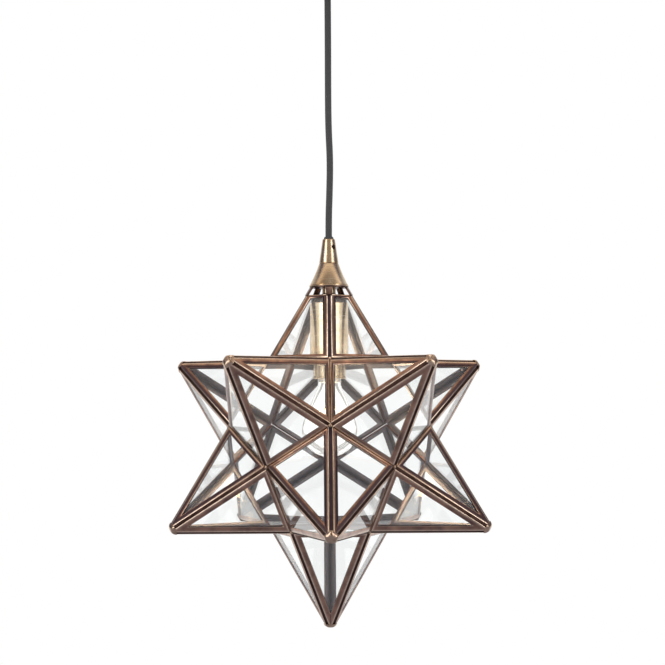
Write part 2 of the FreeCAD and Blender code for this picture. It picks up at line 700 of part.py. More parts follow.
def bulb_filament():
    """A coiled filament in a shallow bow between two wires that rise from the stem."""
    stem_foot = -value("stem_length")
    level, reach = stem_foot - value("filament_drop"), value("filament_reach")
    left, right = FreeCAD.Vector(-reach, 0, level), FreeCAD.Vector(reach, 0, level)
    bow = FreeCAD.Vector(0, 0, level + reach / 3)
    root = value("stem_radius") / 2
    solids = [swept([Part.Arc(left, bow, right).toShape()], value("filament_radius"))]
    for side in (-1, 1):
        foot = FreeCAD.Vector(side * root, 0, stem_foot)
        end = FreeCAD.Vector(side * reach, 0, level + value("filament_radius"))
        solids.append(swept([Part.LineSegment(foot, end).toShape()], value("wire_radius")))
    return hung_shape("bulb_filament", solids[0].fuse(solids[1:]))


def swept(edges, radius):
    """A round bar of one radius along a path of edges."""
    path = Part.Wire(edges)
    start = edges[0].valueAt(edges[0].FirstParameter)
    along = edges[0].tangentAt(edges[0].FirstParameter)
    ring = Part.Wire(Part.Circle(start, along, radius).toShape())
    return path.makePipeShell([ring], True, False)


turned("bulb_screw_cap", [
    ("bulb_neck", "bulb_skirt"),
    ("bulb_cap_radius", "bulb_skirt"),
    ("bulb_cap_radius", "bulb_cap_top - bulb_cap_round"),
    ("bulb_cap_radius - bulb_cap_round", "bulb_cap_top"),
    ("bulb_tip_radius + bulb_cap_round", "bulb_cap_top"),
    ("bulb_tip_radius", "bulb_end - bulb_cap_round"),
    ("bulb_tip_radius / 2", "bulb_end"),
    ("0", "bulb_end"),
    ("0", "bulb_cap_top - bulb_cap_wall"),
    ("bulb_neck", "bulb_cap_top - bulb_cap_wall"),
])
bulb_glass()
turned("bulb_stem", [
    ("0", "stem_foot"),
    ("stem_radius / 2", "stem_foot"),
    ("stem_radius", "stem_foot + stem_radius"),
    ("stem_radius", "bulb_skirt"),
    ("bulb_neck - bulb_glass_wall", "bulb_skirt + bulb_neck_lap / 2"),
    ("bulb_neck - bulb_glass_wall", "bulb_skirt + bulb_neck_lap"),
    ("0", "bulb_skirt + bulb_neck_lap"),
])
bulb_filament()


# ---------------------------------------------------------------- the hinge of the rear point
def hinge_place():
    """Where the hinge's axis lies: height above the middle of the star and distance behind it. It stands
    out of the valley between the upper point and the hinged point, clear of both frames."""
    radius = value("tip_radius")
    apothem, level = radius * (5 - math.sqrt(5)) / 10, radius / math.sqrt(5)
    half_crease = math.radians(CREASE_ANGLE / 2)
    corner = value("came_thick") / 2 / math.sin(half_crease)
    out = corner + (value("knuckle_radius") + value("knuckle_gap")) / math.sin(half_crease)
    pane_up = math.radians(PANE_ANGLE)
    bisector = math.pi - pane_up - half_crease
    return level + out * math.sin(bisector), apothem + out * math.cos(bisector)


def hinge_bar(label, stretches, radius, bore=None):
    """Round bars along the hinge's axis, one for each stretch from a low to a high x, bored where asked."""
    level, behind = hinge_place()
    solids = []
    for low, high in stretches:
        base = FreeCAD.Vector(low, behind, level)
        bar = Part.makeCylinder(radius, high - low, base, FreeCAD.Vector(1, 0, 0))
        if bore:
            bar = bar.cut(Part.makeCylinder(bore, high - low, base, FreeCAD.Vector(1, 0, 0)))
        solids.append(bar)
    feature = document.addObject("Part::Feature", label)
    feature.Shape = Part.makeCompound(solids) if len(solids) > 1 else solids[0]
    bind(feature, "Placement.Base.z", "-drop")
    return keep(feature)


def hinge():
    """Two outer knuckles on the upper point, one between them on the hinged point, and the pin."""
    length, play = value("knuckle_length"), value("knuckle_play")
    outer, inner = 1.5 * length + play, 0.5 * length + play
    bore = value("pin_radius") + value("pin_play")
    hinge_bar("hinge_fixed_knuckles", [(-outer, -inner), (inner, outer)], value("knuckle_radius"), bore)
    hinge_bar("hinge_door_knuckle", [(-length / 2, length / 2)], value("knuckle_radius"), bore)
    hinge_bar("hinge_pin", [(-outer - play, outer + play)], value("pin_radius"))


hinge()


# ---------------------------------------------------------------- the ceiling rose
def ceiling_strap():
    """A steel strap on the ceiling with two screw holes, and a leg at each end for the rose's side screws."""
    body = new_body("ceiling_strap", lowered=False)
    side = new_sketch(body)
    polygon(side, [
        ("-strap_end", "0"),
        ("-strap_end", "-strap_leg"),
        ("strap_thick - strap_end", "-strap_leg"),
        ("strap_thick - strap_end", "-strap_thick"),
        ("strap_end - strap_thick", "-strap_thick"),
        ("strap_end - strap_thick", "-strap_leg"),
        ("strap_end", "-strap_leg"),
        ("strap_end", "0"),
    ])
    pad(body, side, "strap_wide", both_ways=True)
    holes = new_sketch(body, "XY_Plane")
    for x in ("strap_pitch / 2", "-strap_pitch / 2"):
        circle(holes, x, "0", "strap_hole")
    pocket(body, holes, "2 * strap_thick", both_ways=True)
    taps = circle(new_sketch(body, "YZ_Plane"), "0", "-side_level", "side_screw")
    pocket(body, taps, both_ways=True)
    return keep(body)


def ceiling_rose():
    """The spun cover of the rose, open at the top, with holes for the cord grip and the side screws."""
    body = new_body("ceiling_rose", lowered=False)
    turn(body, [
        ("nipple_radius", "-rose_depth"),
        ("rose_radius - rose_round", "-rose_depth"),
        ("rose_radius", "rose_round - rose_depth"),
        ("rose_radius", "0"),
        ("rose_radius - rose_wall", "0"),
        ("rose_radius - rose_wall", "rose_round - rose_depth + rose_wall / 2"),
        ("rose_radius - rose_round - rose_wall / 2", "rose_wall - rose_depth"),
        ("nipple_radius", "rose_wall - rose_depth"),
    ])
    holes = circle(new_sketch(body, "YZ_Plane"), "0", "-side_level", "side_screw")
    pocket(body, holes, both_ways=True)
    return keep(body)


def side_screws():
    """Two slotted screws that hold the rose on the legs of the strap."""
    start = "strap_end - strap_thick - side_end"
    length = f"rose_radius - ({start})"
    head = ("side_head", "side_head_high")
    body = slotted_pin("rose_side_screws", "0", "-side_level", "side_screw", start, length, False, head)
    features = [part for part in body.Group if part.TypeId in ("PartDesign::Pad", "PartDesign::Pocket")]
    pattern(body, features, 2)
    body.Placement.Rotation = FreeCAD.Rotation(FreeCAD.Vector(0, 0, 1), 90)
    return keep(body)


def terminal_block():
    """A moulded block with three screw terminals, held up against the strap."""
    body = new_body("terminal_block", lowered=False)
    outline = rectangle(new_sketch(body, "XY_Plane", "-strap_thick"), "0", "0", "block_long", "block_wide")
    pad(body, outline, "block_high", reverse=True)
    wells = new_sketch(body, "XY_Plane", "-strap_thick - block_high")
    for x in ("-terminal_pitch", "0", "terminal_pitch"):
        circle(wells, x, "-block_wide / 4", "terminal_radius")
    pocket(body, wells, "block_high / 2", reverse=True)
    return keep(body)


def terminal_screws():
    """A slotted screw in each well of the terminal block."""
    body = new_body("terminal_screws", lowered=False)
    level = "-strap_thick - block_high / 2"
    bodies = new_sketch(body, "XY_Plane", level)
    for x in ("-terminal_pitch", "0", "terminal_pitch"):
        circle(bodies, x, "-block_wide / 4", "terminal_radius")
    pad(body, bodies, "block_high / 4", reverse=True)
    return keep(body)


def cord_start():
    """The end of the cord in its grip, and its three core wires up to the terminal block."""
    body = new_body("cord_start_and_wires", lowered=False)
    cover = new_sketch(body, "XY_Plane", "bend_top")
    pad(body, circle(cover, "0", "0", "cord_radius"), "grip_shelf - bend_top")
    sketch = new_sketch(body, "XY_Plane", "grip_shelf")
    wire_length = "-strap_thick - block_high - grip_shelf"
    wire = pad(body, circle(sketch, "core_circle", "0", "core_radius"), wire_length)
    pattern(body, [wire], 3)
    return keep(body)


ceiling_strap()
ceiling_rose()
side_screws()
terminal_block()
terminal_screws()
cord_start()
GRIP_TUBE_TOP = "grip_shelf + grip_nipple"
tube("rose_threaded_tube", "nipple_radius", "nipple_bore", "grip_shelf", GRIP_TUBE_TOP, lowered=False)
hexagon_nut("rose_nut", "rose_wall - rose_depth", lowered=False)
turned("cord_grip", [
    ("mouth_radius + mouth_deep * tan(mouth_flare_angle)", "grip_end"),
    ("grip_foot", "grip_end"),
    ("grip_foot", "grip_end + edge_break"),
    ("grip_radius", "grip_shelf"),
    ("grip_radius", "-rose_depth"),
    ("nipple_radius", "-rose_depth"),
    ("nipple_radius", "grip_shelf"),
    ("cord_radius", "grip_shelf"),
    ("cord_radius", "bend_top"),
    ("mouth_radius", "bend_top"),
    ("mouth_radius", "bend_level"),
], lowered=False)


# ---------------------------------------------------------------- the cord
# The free cord runs in the plane Y = 0. Each of its points is an x and a share of the way from the cap up to
# the grip. It hangs almost straight, with the slight waves that a braided cord keeps.
CORD_WAVES = [
    (0.0, 1.0),
    (0.15, 0.8),
    (0.0, 0.6),
    (0.2, 0.45),
    (1.9, 0.31),
    (1.0, 0.17),
    (0.0, 0.08),
    (0.0, 0.0),
]


def cord_route():
    """The points of the free cord as an x and a height over the middle of the star."""
    rim = value("tip_radius") - value("crown_drop") + value("crown_open")
    cap_top = rim + value("cap_low_height") + value("cap_high_height")
    foot = cap_top + value("bushing_height") + value("cord_gap")
    head = value("drop") - value("rose_depth") - value("grip_height") + value("mouth_deep")
    return [(x, foot + share * (head - foot)) for x, share in CORD_WAVES]


def cord_path(route):
    """Straight runs joined by tangent arcs. It gives the edges of the path and the radii of its arcs."""
    spots = [FreeCAD.Vector(x, 0, level) for x, level in route]
    edges, radii = [], []
    start = spots[0]
    for before, corner, after in zip(spots, spots[1:], spots[2:]):
        back, ahead = before - corner, after - corner
        half_turn = (math.pi - back.getAngle(ahead)) / 2
        reach = 0.45 * min(back.Length, ahead.Length)
        radius = reach / math.tan(half_turn)
        back.normalize()
        ahead.normalize()
        into, out = corner + back * reach, corner + ahead * reach
        inward = back + ahead
        inward.normalize()
        middle = corner + inward * (radius / math.cos(half_turn) - radius)
        edges.append(Part.LineSegment(start, into).toShape())
        edges.append(Part.Arc(into, middle, out).toShape())
        radii.append(radius)
        start = out
    edges.append(Part.LineSegment(start, spots[-1]).toShape())
    return edges, radii


def pendant_cord():
    edges, radii = cord_path(cord_route())
    radius = value("cord_radius")
    length = sum(edge.Length for edge in edges)
    feature = document.addObject("Part::Feature", "pendant_cord")
    feature.Shape = swept(edges, radius)
    bind(feature, "Placement.Base.z", "-drop")
    print("cord length", round(length, 1), "arc radii", [round(r) for r in radii])
    bar_volume = math.pi * radius ** 2 * length
    print("cord volume over section times length", round(feature.Shape.Volume / bar_volume, 4))
    return keep(feature)


pendant_cord()


# ---------------------------------------------------------------- checks and files
document.recompute()
for thing in document.Objects:
    if "Invalid" in thing.State or "Error" in thing.State:
        raise RuntimeError(f"{thing.Label} did not build: {thing.State}")
for sub_part in sub_parts:
    shape = sub_part.Shape
    if shape.isNull() or not shape.isValid() or not shape.Solids:
        raise RuntimeError(f"{sub_part.Label} has no sound shape")
os.makedirs("parts", exist_ok=True)
for sub_part in sub_parts:
    sub_part.Shape.exportStep(f"parts/{sub_part.Label}.step")
print(len(sub_parts), "sub-parts")
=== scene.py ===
import math

import bmesh
import bpy
import numpy as np
from mathutils import Matrix, Vector


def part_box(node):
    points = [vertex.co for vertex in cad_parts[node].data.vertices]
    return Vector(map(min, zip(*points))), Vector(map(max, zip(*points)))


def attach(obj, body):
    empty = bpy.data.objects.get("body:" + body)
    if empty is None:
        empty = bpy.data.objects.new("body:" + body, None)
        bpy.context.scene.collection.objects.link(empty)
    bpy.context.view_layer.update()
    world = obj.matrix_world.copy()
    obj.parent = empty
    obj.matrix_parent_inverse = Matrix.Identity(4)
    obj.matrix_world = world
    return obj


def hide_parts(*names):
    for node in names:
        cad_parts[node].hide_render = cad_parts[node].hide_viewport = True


# A moravian star pendant, dressed around its fixed frame. Sizes are in metres, in the frame's own axes:
# the origin is on the ceiling, +Z is up and the viewer of the photograph stands at -Y.

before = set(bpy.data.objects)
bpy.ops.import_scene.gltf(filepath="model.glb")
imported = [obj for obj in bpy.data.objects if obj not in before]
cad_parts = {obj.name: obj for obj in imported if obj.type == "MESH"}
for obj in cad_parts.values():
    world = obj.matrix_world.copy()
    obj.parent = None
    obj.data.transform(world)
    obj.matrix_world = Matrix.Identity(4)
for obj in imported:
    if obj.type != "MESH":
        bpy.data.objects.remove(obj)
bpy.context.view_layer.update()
MM = 0.001

# -------- driving sizes
TIP_RADIUS = 200 * MM          # middle of the star to the sharp end of a point
TIP_CUT = 191.5 * MM           # where the frames of a point end in its solder tip
TIP_END = 194.8 * MM           # rounded end of a solder tip
TIP_ROUND = 2.8 * MM
CAME = 3.5 * MM                # thickness of the brass channel round a pane
RIDGE_RAIL = 6.3 * MM          # width of that channel along a ridge
VALLEY_RAIL = 4.6 * MM         # width of that channel along a valley
CROWN_RAIL = 3.8 * MM          # and along the open top of the uppermost point
SLOT_HALF = 1.1 * MM           # half the width of the slot that holds the glass
RIDGE_SLOT = 4.0 * MM          # depth of that slot in a ridge channel
VALLEY_SLOT = 3.0 * MM         # and in a valley or crown channel
DOOR_PLAY = 0.35 * MM          # gap round the base of the hinged point
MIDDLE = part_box("solder_tips")[0].z + TIP_END
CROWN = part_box("top_point_frames")[1].z - MIDDLE
CORD_RADIUS = 3.6 * MM

# The star's own geometry: its points stand on the faces of a dodecahedron.
ROOT_5 = math.sqrt(5)
FIFTH = math.tau / 5
BASE_LEVEL = TIP_RADIUS / ROOT_5                # from the middle to the base of a point
BASE_APOTHEM = TIP_RADIUS * (5 - ROOT_5) / 10   # from the axis of a point to the edges of its base
SLANT = TIP_RADIUS * (ROOT_5 - 1) / 2           # height of a pane from its base to its sharp end
HALF_APEX = math.radians(18)                    # half the angle of a pane at that end
PANE_TILT = math.atan(2)
PANE_RISE = 2 / ROOT_5
POINT_TILT = math.atan(2)                       # from the upright axis to the axis of an upper point
HALF_CREASE = (ROOT_5 - 1) / 2                  # tangent of half the bend between panes on one ridge or valley
EDGE_INSET = CAME / 2 * HALF_CREASE             # room for that bend beside a channel


def placed(name, data):
    """A new object in the scene."""
    thing = bpy.data.objects.new(name, data)
    bpy.context.scene.collection.objects.link(thing)
    return thing


# -------- camera
CAMERA_AWAY = 1.6714           # camera to the star's upright axis
CAMERA_UP = 0.0372             # camera above the middle of the star
CAMERA_PITCH = 0.0495          # looking slightly up
CAMERA_ROUND = -0.007          # gone round the star by this angle, to its left
CAMERA_YAW = -0.00214          # looking a touch to the right, as the photograph is framed
CAMERA_ROLL = -0.0048          # and leaning as much as the star hangs off the vertical there
FRAME_PIXELS = 665
FOCAL_PIXELS = 1554.4
SENSOR = 36.0

lens = bpy.data.cameras.new("camera")
lens.sensor_fit = "HORIZONTAL"
lens.sensor_width = SENSOR
lens.lens = FOCAL_PIXELS * SENSOR / FRAME_PIXELS
lens.clip_start, lens.clip_end = 0.05, 60
camera = placed("camera", lens)
camera.matrix_world = (
    Matrix.Rotation(CAMERA_ROUND, 4, "Z")
    @ Matrix.Translation((0, -CAMERA_AWAY, MIDDLE + CAMERA_UP))
    @ Matrix.Rotation(CAMERA_YAW, 4, "Z")
    @ Matrix.Rotation(math.pi / 2 + CAMERA_PITCH, 4, "X")
    @ Matrix.Rotation(CAMERA_ROLL, 4, "Z")
)
bpy.context.scene.camera = camera


# -------- small helpers
def shade(data, angle, turn_out=False):
    """Shades a mesh smooth except over edges sharper than angle, and turns its faces outwards if asked."""
    mesh = bmesh.new()
    mesh.from_mesh(data)
    if turn_out:
        bmesh.ops.recalc_face_normals(mesh, faces=mesh.faces)
    for face in mesh.faces:
        face.smooth = True
    limit = math.radians(angle)
    for edge in mesh.edges:
        edge.smooth = len(edge.link_faces) == 2 and edge.calc_face_angle(0) < limit
    mesh.to_mesh(data)
    mesh.free()


def riding(name, data, body, nodes):
    """A piece of the object that rides on a body, in place of the named nodes."""
    thing = placed(name, data)
    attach(thing, body)
    if nodes:
        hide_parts(*nodes)
    return thing


def piece(name, verts, faces, material, body, slot, nodes, angle, face_materials=None):
    """A mesh object with one material, or with a list of them and each face's number in it."""
    data = bpy.data.meshes.new(name)
    data.from_pydata([tuple(v) for v in verts], [], faces)
    for each in material if isinstance(material, list) else [material]:
        data.materials.append(each)
    if face_materials is not None:
        data.polygons.foreach_set("material_index", face_materials)
    shade(data, angle, turn_out=True)
    return riding(name, data, body, nodes)


def mark(thing, name, domain, values):
    """Gives each point or face of a mesh a number that its material reads by name."""
    thing.data.attributes.new(name, "FLOAT", domain).data.foreach_set("value", values)


def grid_faces(rows, columns, close_rows=False):
    """Quads between the rows of a grid of vertices, each row a loop of columns vertices."""
    faces = []
    for i in range(rows if close_rows else rows - 1):
        a, b = i * columns, ((i + 1) % rows) * columns
        for j in range(columns):
            k = (j + 1) % columns
            faces.append((a + j, a + k, b + k, b + j))
    return faces


def capped(rows, columns):
    """The same, with a face over the first and the last row."""
    last = (rows - 1) * columns
    return grid_faces(rows, columns) + [tuple(range(columns)), tuple(reversed(range(last, last + columns)))]


def lathe_mesh(profile, segments, wobble):
    """Vertices and faces of a closed profile of (radius, level) turned about the upright axis. A profile
    that starts and ends on the axis is closed there, and any other one is joined end to start."""
    on_axis = profile[0][0] == 0 and profile[-1][0] == 0
    rows = profile[1:-1] if on_axis else profile
    verts = []
    for radius, level in rows:
        for j in range(segments):
            turn = math.tau * j / segments
            r = radius + (wobble(turn, level) if wobble else 0)
            verts.append((r * math.cos(turn), r * math.sin(turn), level))
    faces = grid_faces(len(rows), segments, close_rows=not on_axis)
    if on_axis:
        for level, row in ((profile[0][1], 0), (profile[-1][1], len(rows) - 1)):
            middle = len(verts)
            verts.append((0, 0, level))
            for j in range(segments):
                faces.append((middle, row * segments + j, row * segments + (j + 1) % segments))
    return verts, faces


def lathe(name, profile, material, body, slot, node, segments=96, angle=32, wobble=None):
    """A turned piece in place of one node. Its levels are measured from the middle of the star."""
    lifted = [(radius, level + MIDDLE) for radius, level in profile]
    return piece(name, *lathe_mesh(lifted, segments, wobble), material, body, slot, [node], angle)


def rounded(corners, radii, steps=4):
    """The outline of corners (radius, level), each rounded by its own radius in millimetres. 0 is sharp."""
    out = []
    for i, (corner, radius) in enumerate(zip(corners, radii)):
        here, before, after = (Vector(p) for p in (corner, corners[i - 1], corners[(i + 1) % len(corners)]))
        if radius <= 0:
            out.append(tuple(here))
            continue
        back, ahead = (before - here).normalized(), (after - here).normalized()
        reach = min(radius * MM, 0.49 * (before - here).length, 0.49 * (after - here).length)
        for step in range(steps + 1):
            s = step / steps
            out.append(tuple(here + back * reach * (1 - s) ** 2 + ahead * reach * s ** 2))
    return out


def offsets(radius, level, *steps):
    """Points of a profile, each by its steps in millimetres from one place."""
    return [(radius + out * MM, level + up * MM) for out, up in steps]


def tube_mesh(points, radius, sides, shape=None):
    """Vertices and faces of a round tube along points. shape(turn, along) adds to its radius."""
    verts = []
    normal = None
    travelled = 0.0
    for i, point in enumerate(points):
        along = (points[min(i + 1, len(points) - 1)] - points[max(i - 1, 0)]).normalized()
        if normal is None:
            normal = along.orthogonal().normalized()
        normal = (normal - along * normal.dot(along)).normalized()
        across = along.cross(normal)
        if i:
            travelled += (point - points[i - 1]).length
        for j in range(sides):
            turn = math.tau * j / sides
            r = radius + (shape(turn, travelled) if shape else 0)
            verts.append(point + (normal * math.cos(turn) + across * math.sin(turn)) * r)
    return verts, capped(len(points), sides)


def joined(parts):
    """Vertices and faces of several meshes as one."""
    verts, faces = [], []
    for part_verts, part_faces in parts:
        first = len(verts)
        verts += [Vector(v) for v in part_verts]
        faces += [tuple(first + n for n in face) for face in part_faces]
    return verts, faces


def moved(mesh, matrix):
    verts, faces = mesh
    return [matrix @ Vector(v) for v in verts], faces


# -------- materials
# Painted shade: the colour that the upright bars of the middle plane are darkened towards.
PAINTED_SHADE_TONE = (0.05, 0.04, 0.06)    # nearly black, on the darkest bars


def grey(value):
    return (value, value, value)


def connect(tree, node, inputs):
    """Links inputs of a node, by name or number, to outputs, or sets their own numbers and colours."""
    for key, value in inputs.items():
        socket = node.inputs[key]
        if hasattr(value, "is_linked"):
            tree.links.new(value, socket)
        elif isinstance(value, tuple) and len(value) < len(socket.default_value):
            socket.default_value = (*value, 1)
        else:
            socket.default_value = value


def outputs(tree, kind, inputs={}, **settings):
    """The outputs of a new node with these inputs and settings."""
    node = tree.nodes.new("ShaderNode" + kind)
    for name, value in settings.items():
        setattr(node, name, value)
    connect(tree, node, inputs)
    return node.outputs


def new_material(name):
    material = bpy.data.materials.new(name)
    material.use_nodes = True
    return material, material.node_tree, material.node_tree.nodes["Principled BSDF"]


def show(tree, output, shown):
    connect(tree, tree.nodes[output], {"Surface": shown})


def ramp(tree, source, *stops):
    """A colour for each stop of the source, where a plain number is a grey."""
    shades = outputs(tree, "ValToRGB", {"Fac": source})["Color"]
    elements = shades.node.color_ramp.elements
    while len(elements) < len(stops):
        elements.new(0.5)
    for element, (place, colour) in zip(elements, stops):
        element.position = place
        element.color = (*(colour if isinstance(colour, tuple) else grey(colour)), 1)
    return shades


def noise(tree, scale, detail, roughness, stretch=None, distortion=0.0):
    place = outputs(tree, "TexCoord")["Object"]
    if stretch:
        place = outputs(tree, "Mapping", {"Vector": place, "Scale": stretch})["Vector"]
    return outputs(tree, "TexNoise", {
        "Vector": place, "Scale": scale, "Detail": detail, "Roughness": roughness, "Distortion": distortion,
    })["Fac"]


def attribute(tree, name):
    return outputs(tree, "Attribute", attribute_name=name)["Fac"]


def maths(tree, operation, *values):
    return outputs(tree, "Math", dict(enumerate(values)), operation=operation)[0]


def mix_colour(tree, share, first, second, blend="MIX"):
    colours = {0: share, 6: first, 7: second}
    return outputs(tree, "Mix", colours, data_type="RGBA", blend_type=blend)[2]


def bump(tree, height, strength, distance):
    inputs = {"Height": height, "Strength": strength, "Distance": distance}
    return outputs(tree, "Bump", inputs)["Normal"]


def aged_metal(name, dark, light, worn_and_highlight_tone, rough, scale=60):
    """Antique metal: two blotchy tones, paler where a mesh attribute marks wear and painted highlight, and nearly
    black where another attribute marks painted shade."""
    material, tree, shader = new_material(name)
    blotches = noise(tree, scale, 5, 0.6, distortion=0.4)
    scratches = noise(tree, scale * 9, 4, 0.7)
    # Painted shade: faces marked by the attribute below are mixed towards nearly black.
    tone = mix_colour(tree, attribute(tree, "painted_shade"), ramp(tree, blotches, (0.32, dark), (0.68, light)), PAINTED_SHADE_TONE)
    # Paler where worn, and along rounded edges the same mark is a painted highlight.
    wear_and_highlight_share = maths(tree, "MULTIPLY", attribute(tree, "rub"), ramp(tree, scratches, (0.30, 0.55), (0.6, 1.0)))
    connect(tree, shader, {
        "Base Color": mix_colour(tree, wear_and_highlight_share, tone, worn_and_highlight_tone),
        "Metallic": 1.0,
        "Roughness": ramp(tree, blotches, (0.3, rough[1]), (0.7, rough[0])),
        "Normal": bump(tree, scratches, 0.15, 0.0002),
    })
    return material


def turned_brass(name, colour, pale):
    """Satin brass from a lathe: fine level rings over a slow change of tone."""
    material, tree, shader = new_material(name)
    tone = ramp(tree, noise(tree, 45, 3, 0.5), (0.3, colour), (0.72, pale))
    rings = noise(tree, 1.0, 2, 0.6, stretch=(6, 6, 900))
    connect(tree, shader, {
        "Base Color": mix_colour(tree, 0.35, tone, ramp(tree, rings, (0.3, 0.62), (0.7, 1.0)), "MULTIPLY"),
        "Metallic": 1.0,
        "Anisotropic": 0.3,
        "Roughness": ramp(tree, rings, (0.3, 0.30), (0.7, 0.17)),
        "Normal": bump(tree, rings, 0.12, 0.00015),
    })
    return material


def plain(name, colour, rough, metallic=0.0, spread=0.12):
    """A moulded or plated finish with a slight unevenness of tone and surface."""
    material, tree, shader = new_material(name)
    uneven = noise(tree, 90, 4, 0.6)
    low = tuple(c * (1 - spread) for c in colour)
    high = tuple(min(1.0, c * (1 + spread)) for c in colour)
    connect(tree, shader, {
        "Base Color": ramp(tree, uneven, (0.3, low), (0.7, high)),
        "Metallic": metallic,
        "Roughness": ramp(tree, uneven, (0.3, rough * 0.9), (0.7, min(1.0, rough * 1.12))),
        "Normal": bump(tree, noise(tree, 1080, 3, 0.6), 0.1, 0.0001),
    })
    return material


def clear_glass(name, tint, ior=1.5, glow=(1.0, 1.0, 1.0), painted_glow=0.0):
    """Clear glass that lets lamp light through to what is inside. Its glow is painted light, an emission that
    stands for the haze of a lit bulb.
    """
    material, tree, shader = new_material(name)
    connect(tree, shader, {"Base Color": tint, "Roughness": 0.0, "IOR": ior, "Transmission Weight": 1.0,
                           "Emission Color": glow, "Emission Strength": painted_glow})
    through = outputs(tree, "BsdfTransparent", {"Color": (0.93, 0.95, 0.94)})[0]
    shadow = outputs(tree, "LightPath")["Is Shadow Ray"]
    inputs = {0: shadow, 1: shader.outputs[0], 2: through}
    show(tree, "Material Output", outputs(tree, "MixShader", inputs)[0])
    return material


def glowing(name, colour, strength):
    material, tree, shader = new_material(name)
    hot = ramp(tree, noise(tree, 700, 2, 0.5), (0.3, tuple(c * 0.8 for c in colour)), (0.7, colour))
    connect(tree, shader, {"Base Color": hot, "Emission Color": hot, "Emission Strength": strength,
                           "Roughness": 0.6})
    return material


def braided(name):
    """Charcoal textile with yarns crosswise round the cord, darker with painted shade where the braid lies low
    between them.
    """
    material, tree, shader = new_material(name)
    fuzz = noise(tree, 2500, 3, 0.7)
    # Painted shade: the lower the braid lies, the darker the charcoal.
    tone = ramp(tree, attribute(tree, "yarn"), (0.0, (0.012, 0.012, 0.013)), (0.55, (0.05, 0.05, 0.052)),
                (1.0, (0.13, 0.13, 0.135)))
    connect(tree, shader, {
        "Base Color": mix_colour(tree, 0.5, tone, ramp(tree, fuzz, (0.3, 0.55), (0.7, 1.0)), "MULTIPLY"),
        "Roughness": 0.75,
        "Sheen Weight": 0.35,
        "Sheen Roughness": 0.5,
        "Normal": bump(tree, fuzz, 0.3, 0.0002),
    })
    return material


# Each aged metal is given by its dark and light tones, its pale tone where worn or painted with a highlight, and
# by its roughness where light and dark.
came_outside = aged_metal(
    "came_outside", (0.17, 0.095, 0.08), (0.47, 0.275, 0.185), (1.0, 0.79, 0.60), (0.15, 0.27), 55)
came_inside = aged_metal(
    "came_inside", (0.066, 0.058, 0.066), (0.14, 0.124, 0.134), (0.22, 0.20, 0.21), (0.32, 0.5))
crown_bronze = aged_metal("crown_bronze", (0.09, 0.05, 0.045), (0.20, 0.11, 0.08), (0.5, 0.36, 0.26), (0.25, 0.4))
came_groove = aged_metal("came_groove", (0.05, 0.026, 0.02), (0.12, 0.065, 0.05), (0.5, 0.36, 0.27), (0.45, 0.65))
solder = aged_metal("solder", (0.29, 0.18, 0.12), (0.70, 0.51, 0.36), (0.9, 0.74, 0.6), (0.2, 0.36), 160)
pane_glass = clear_glass("pane_glass", (0.985, 0.995, 0.99))
# The bulb's glass and its stem glow with painted light from the lit coil.
bulb_clear = clear_glass("bulb_clear", (0.99, 0.99, 0.985), 1.46, (1.0, 0.98, 0.93), 0.10)
lit_stem = clear_glass("lit_stem", (0.99, 0.97, 0.93), 1.46, (1.0, 0.74, 0.36), 1.6)
satin_brass = turned_brass("satin_brass", (0.64, 0.46, 0.28), (0.90, 0.73, 0.52))
pressed_brass = plain("pressed_brass", (0.78, 0.58, 0.30), 0.35, 1.0)
black_steel = plain("black_steel", (0.075, 0.06, 0.055), 0.42, 1.0, 0.3)
zinc_steel = plain("zinc_steel", (0.60, 0.60, 0.58), 0.38, 1.0, 0.2)
cap_metal = plain("cap_metal", (0.72, 0.70, 0.66), 0.3, 1.0, 0.1)
black_resin = plain("black_resin", (0.035, 0.034, 0.033), 0.45)
white_resin = plain("white_resin", (0.80, 0.79, 0.75), 0.5, 0, 0.04)
bushing_rubber = plain("bushing_rubber", (0.055, 0.055, 0.06), 0.6)
core_rubber = plain("core_rubber", (0.12, 0.12, 0.13), 0.55)
hot_wire = glowing("hot_wire", (1.0, 0.62, 0.25), 45.0)
braid = braided("braid")

# -------- the cord
CORD_FOOT, CORD_HEAD = 223.5 * MM, 488 * MM
# How far the cord strays to the right at each share of its height, as in the frame.
CORD_WAVES = [(0, 1), (0.15 * MM, 0.8), (0, 0.6), (0.2 * MM, 0.45), (1.9 * MM, 0.31), (1.0 * MM, 0.17),
              (0, 0.08), (0, 0)]
BRAID_YARNS = 12               # pairs of yarns round the cord, each way
BRAID_PITCH = 11 * MM          # length in which a yarn goes once round
BRAID_HEIGHT = 0.16 * MM
BRAID_STEP, BRAID_SIDES = 0.55 * MM, 72


def cord_line():
    """The cord's centre line: a curve through control points that stray a little to the side."""
    curve = bpy.data.curves.new("cord_line", "CURVE")
    curve.dimensions = "3D"
    curve.resolution_u = 24
    spline = curve.splines.new("NURBS")
    spline.points.add(len(CORD_WAVES) - 1)
    for point, (x, share) in zip(spline.points, CORD_WAVES):
        point.co = (x, 0, MIDDLE + CORD_FOOT + share * (CORD_HEAD - CORD_FOOT), 1)
    spline.order_u = 3
    spline.use_endpoint_u = True
    thing = placed("cord_line", curve)
    line = bpy.data.meshes.new_from_object(thing)
    points = [v.co.copy() for v in line.vertices]
    bpy.data.objects.remove(thing)
    return points


def evenly(points, gap):
    """The same line with a point at every gap, and its length."""
    lengths = [0.0]
    for a, b in zip(points, points[1:]):
        lengths.append(lengths[-1] + (b - a).length)
    count = max(2, round(lengths[-1] / gap))
    wanted = np.linspace(0, lengths[-1], count + 1)
    columns = [np.interp(wanted, lengths, [p[k] for p in points]) for k in range(3)]
    return [Vector(p) for p in zip(*columns)], lengths[-1]


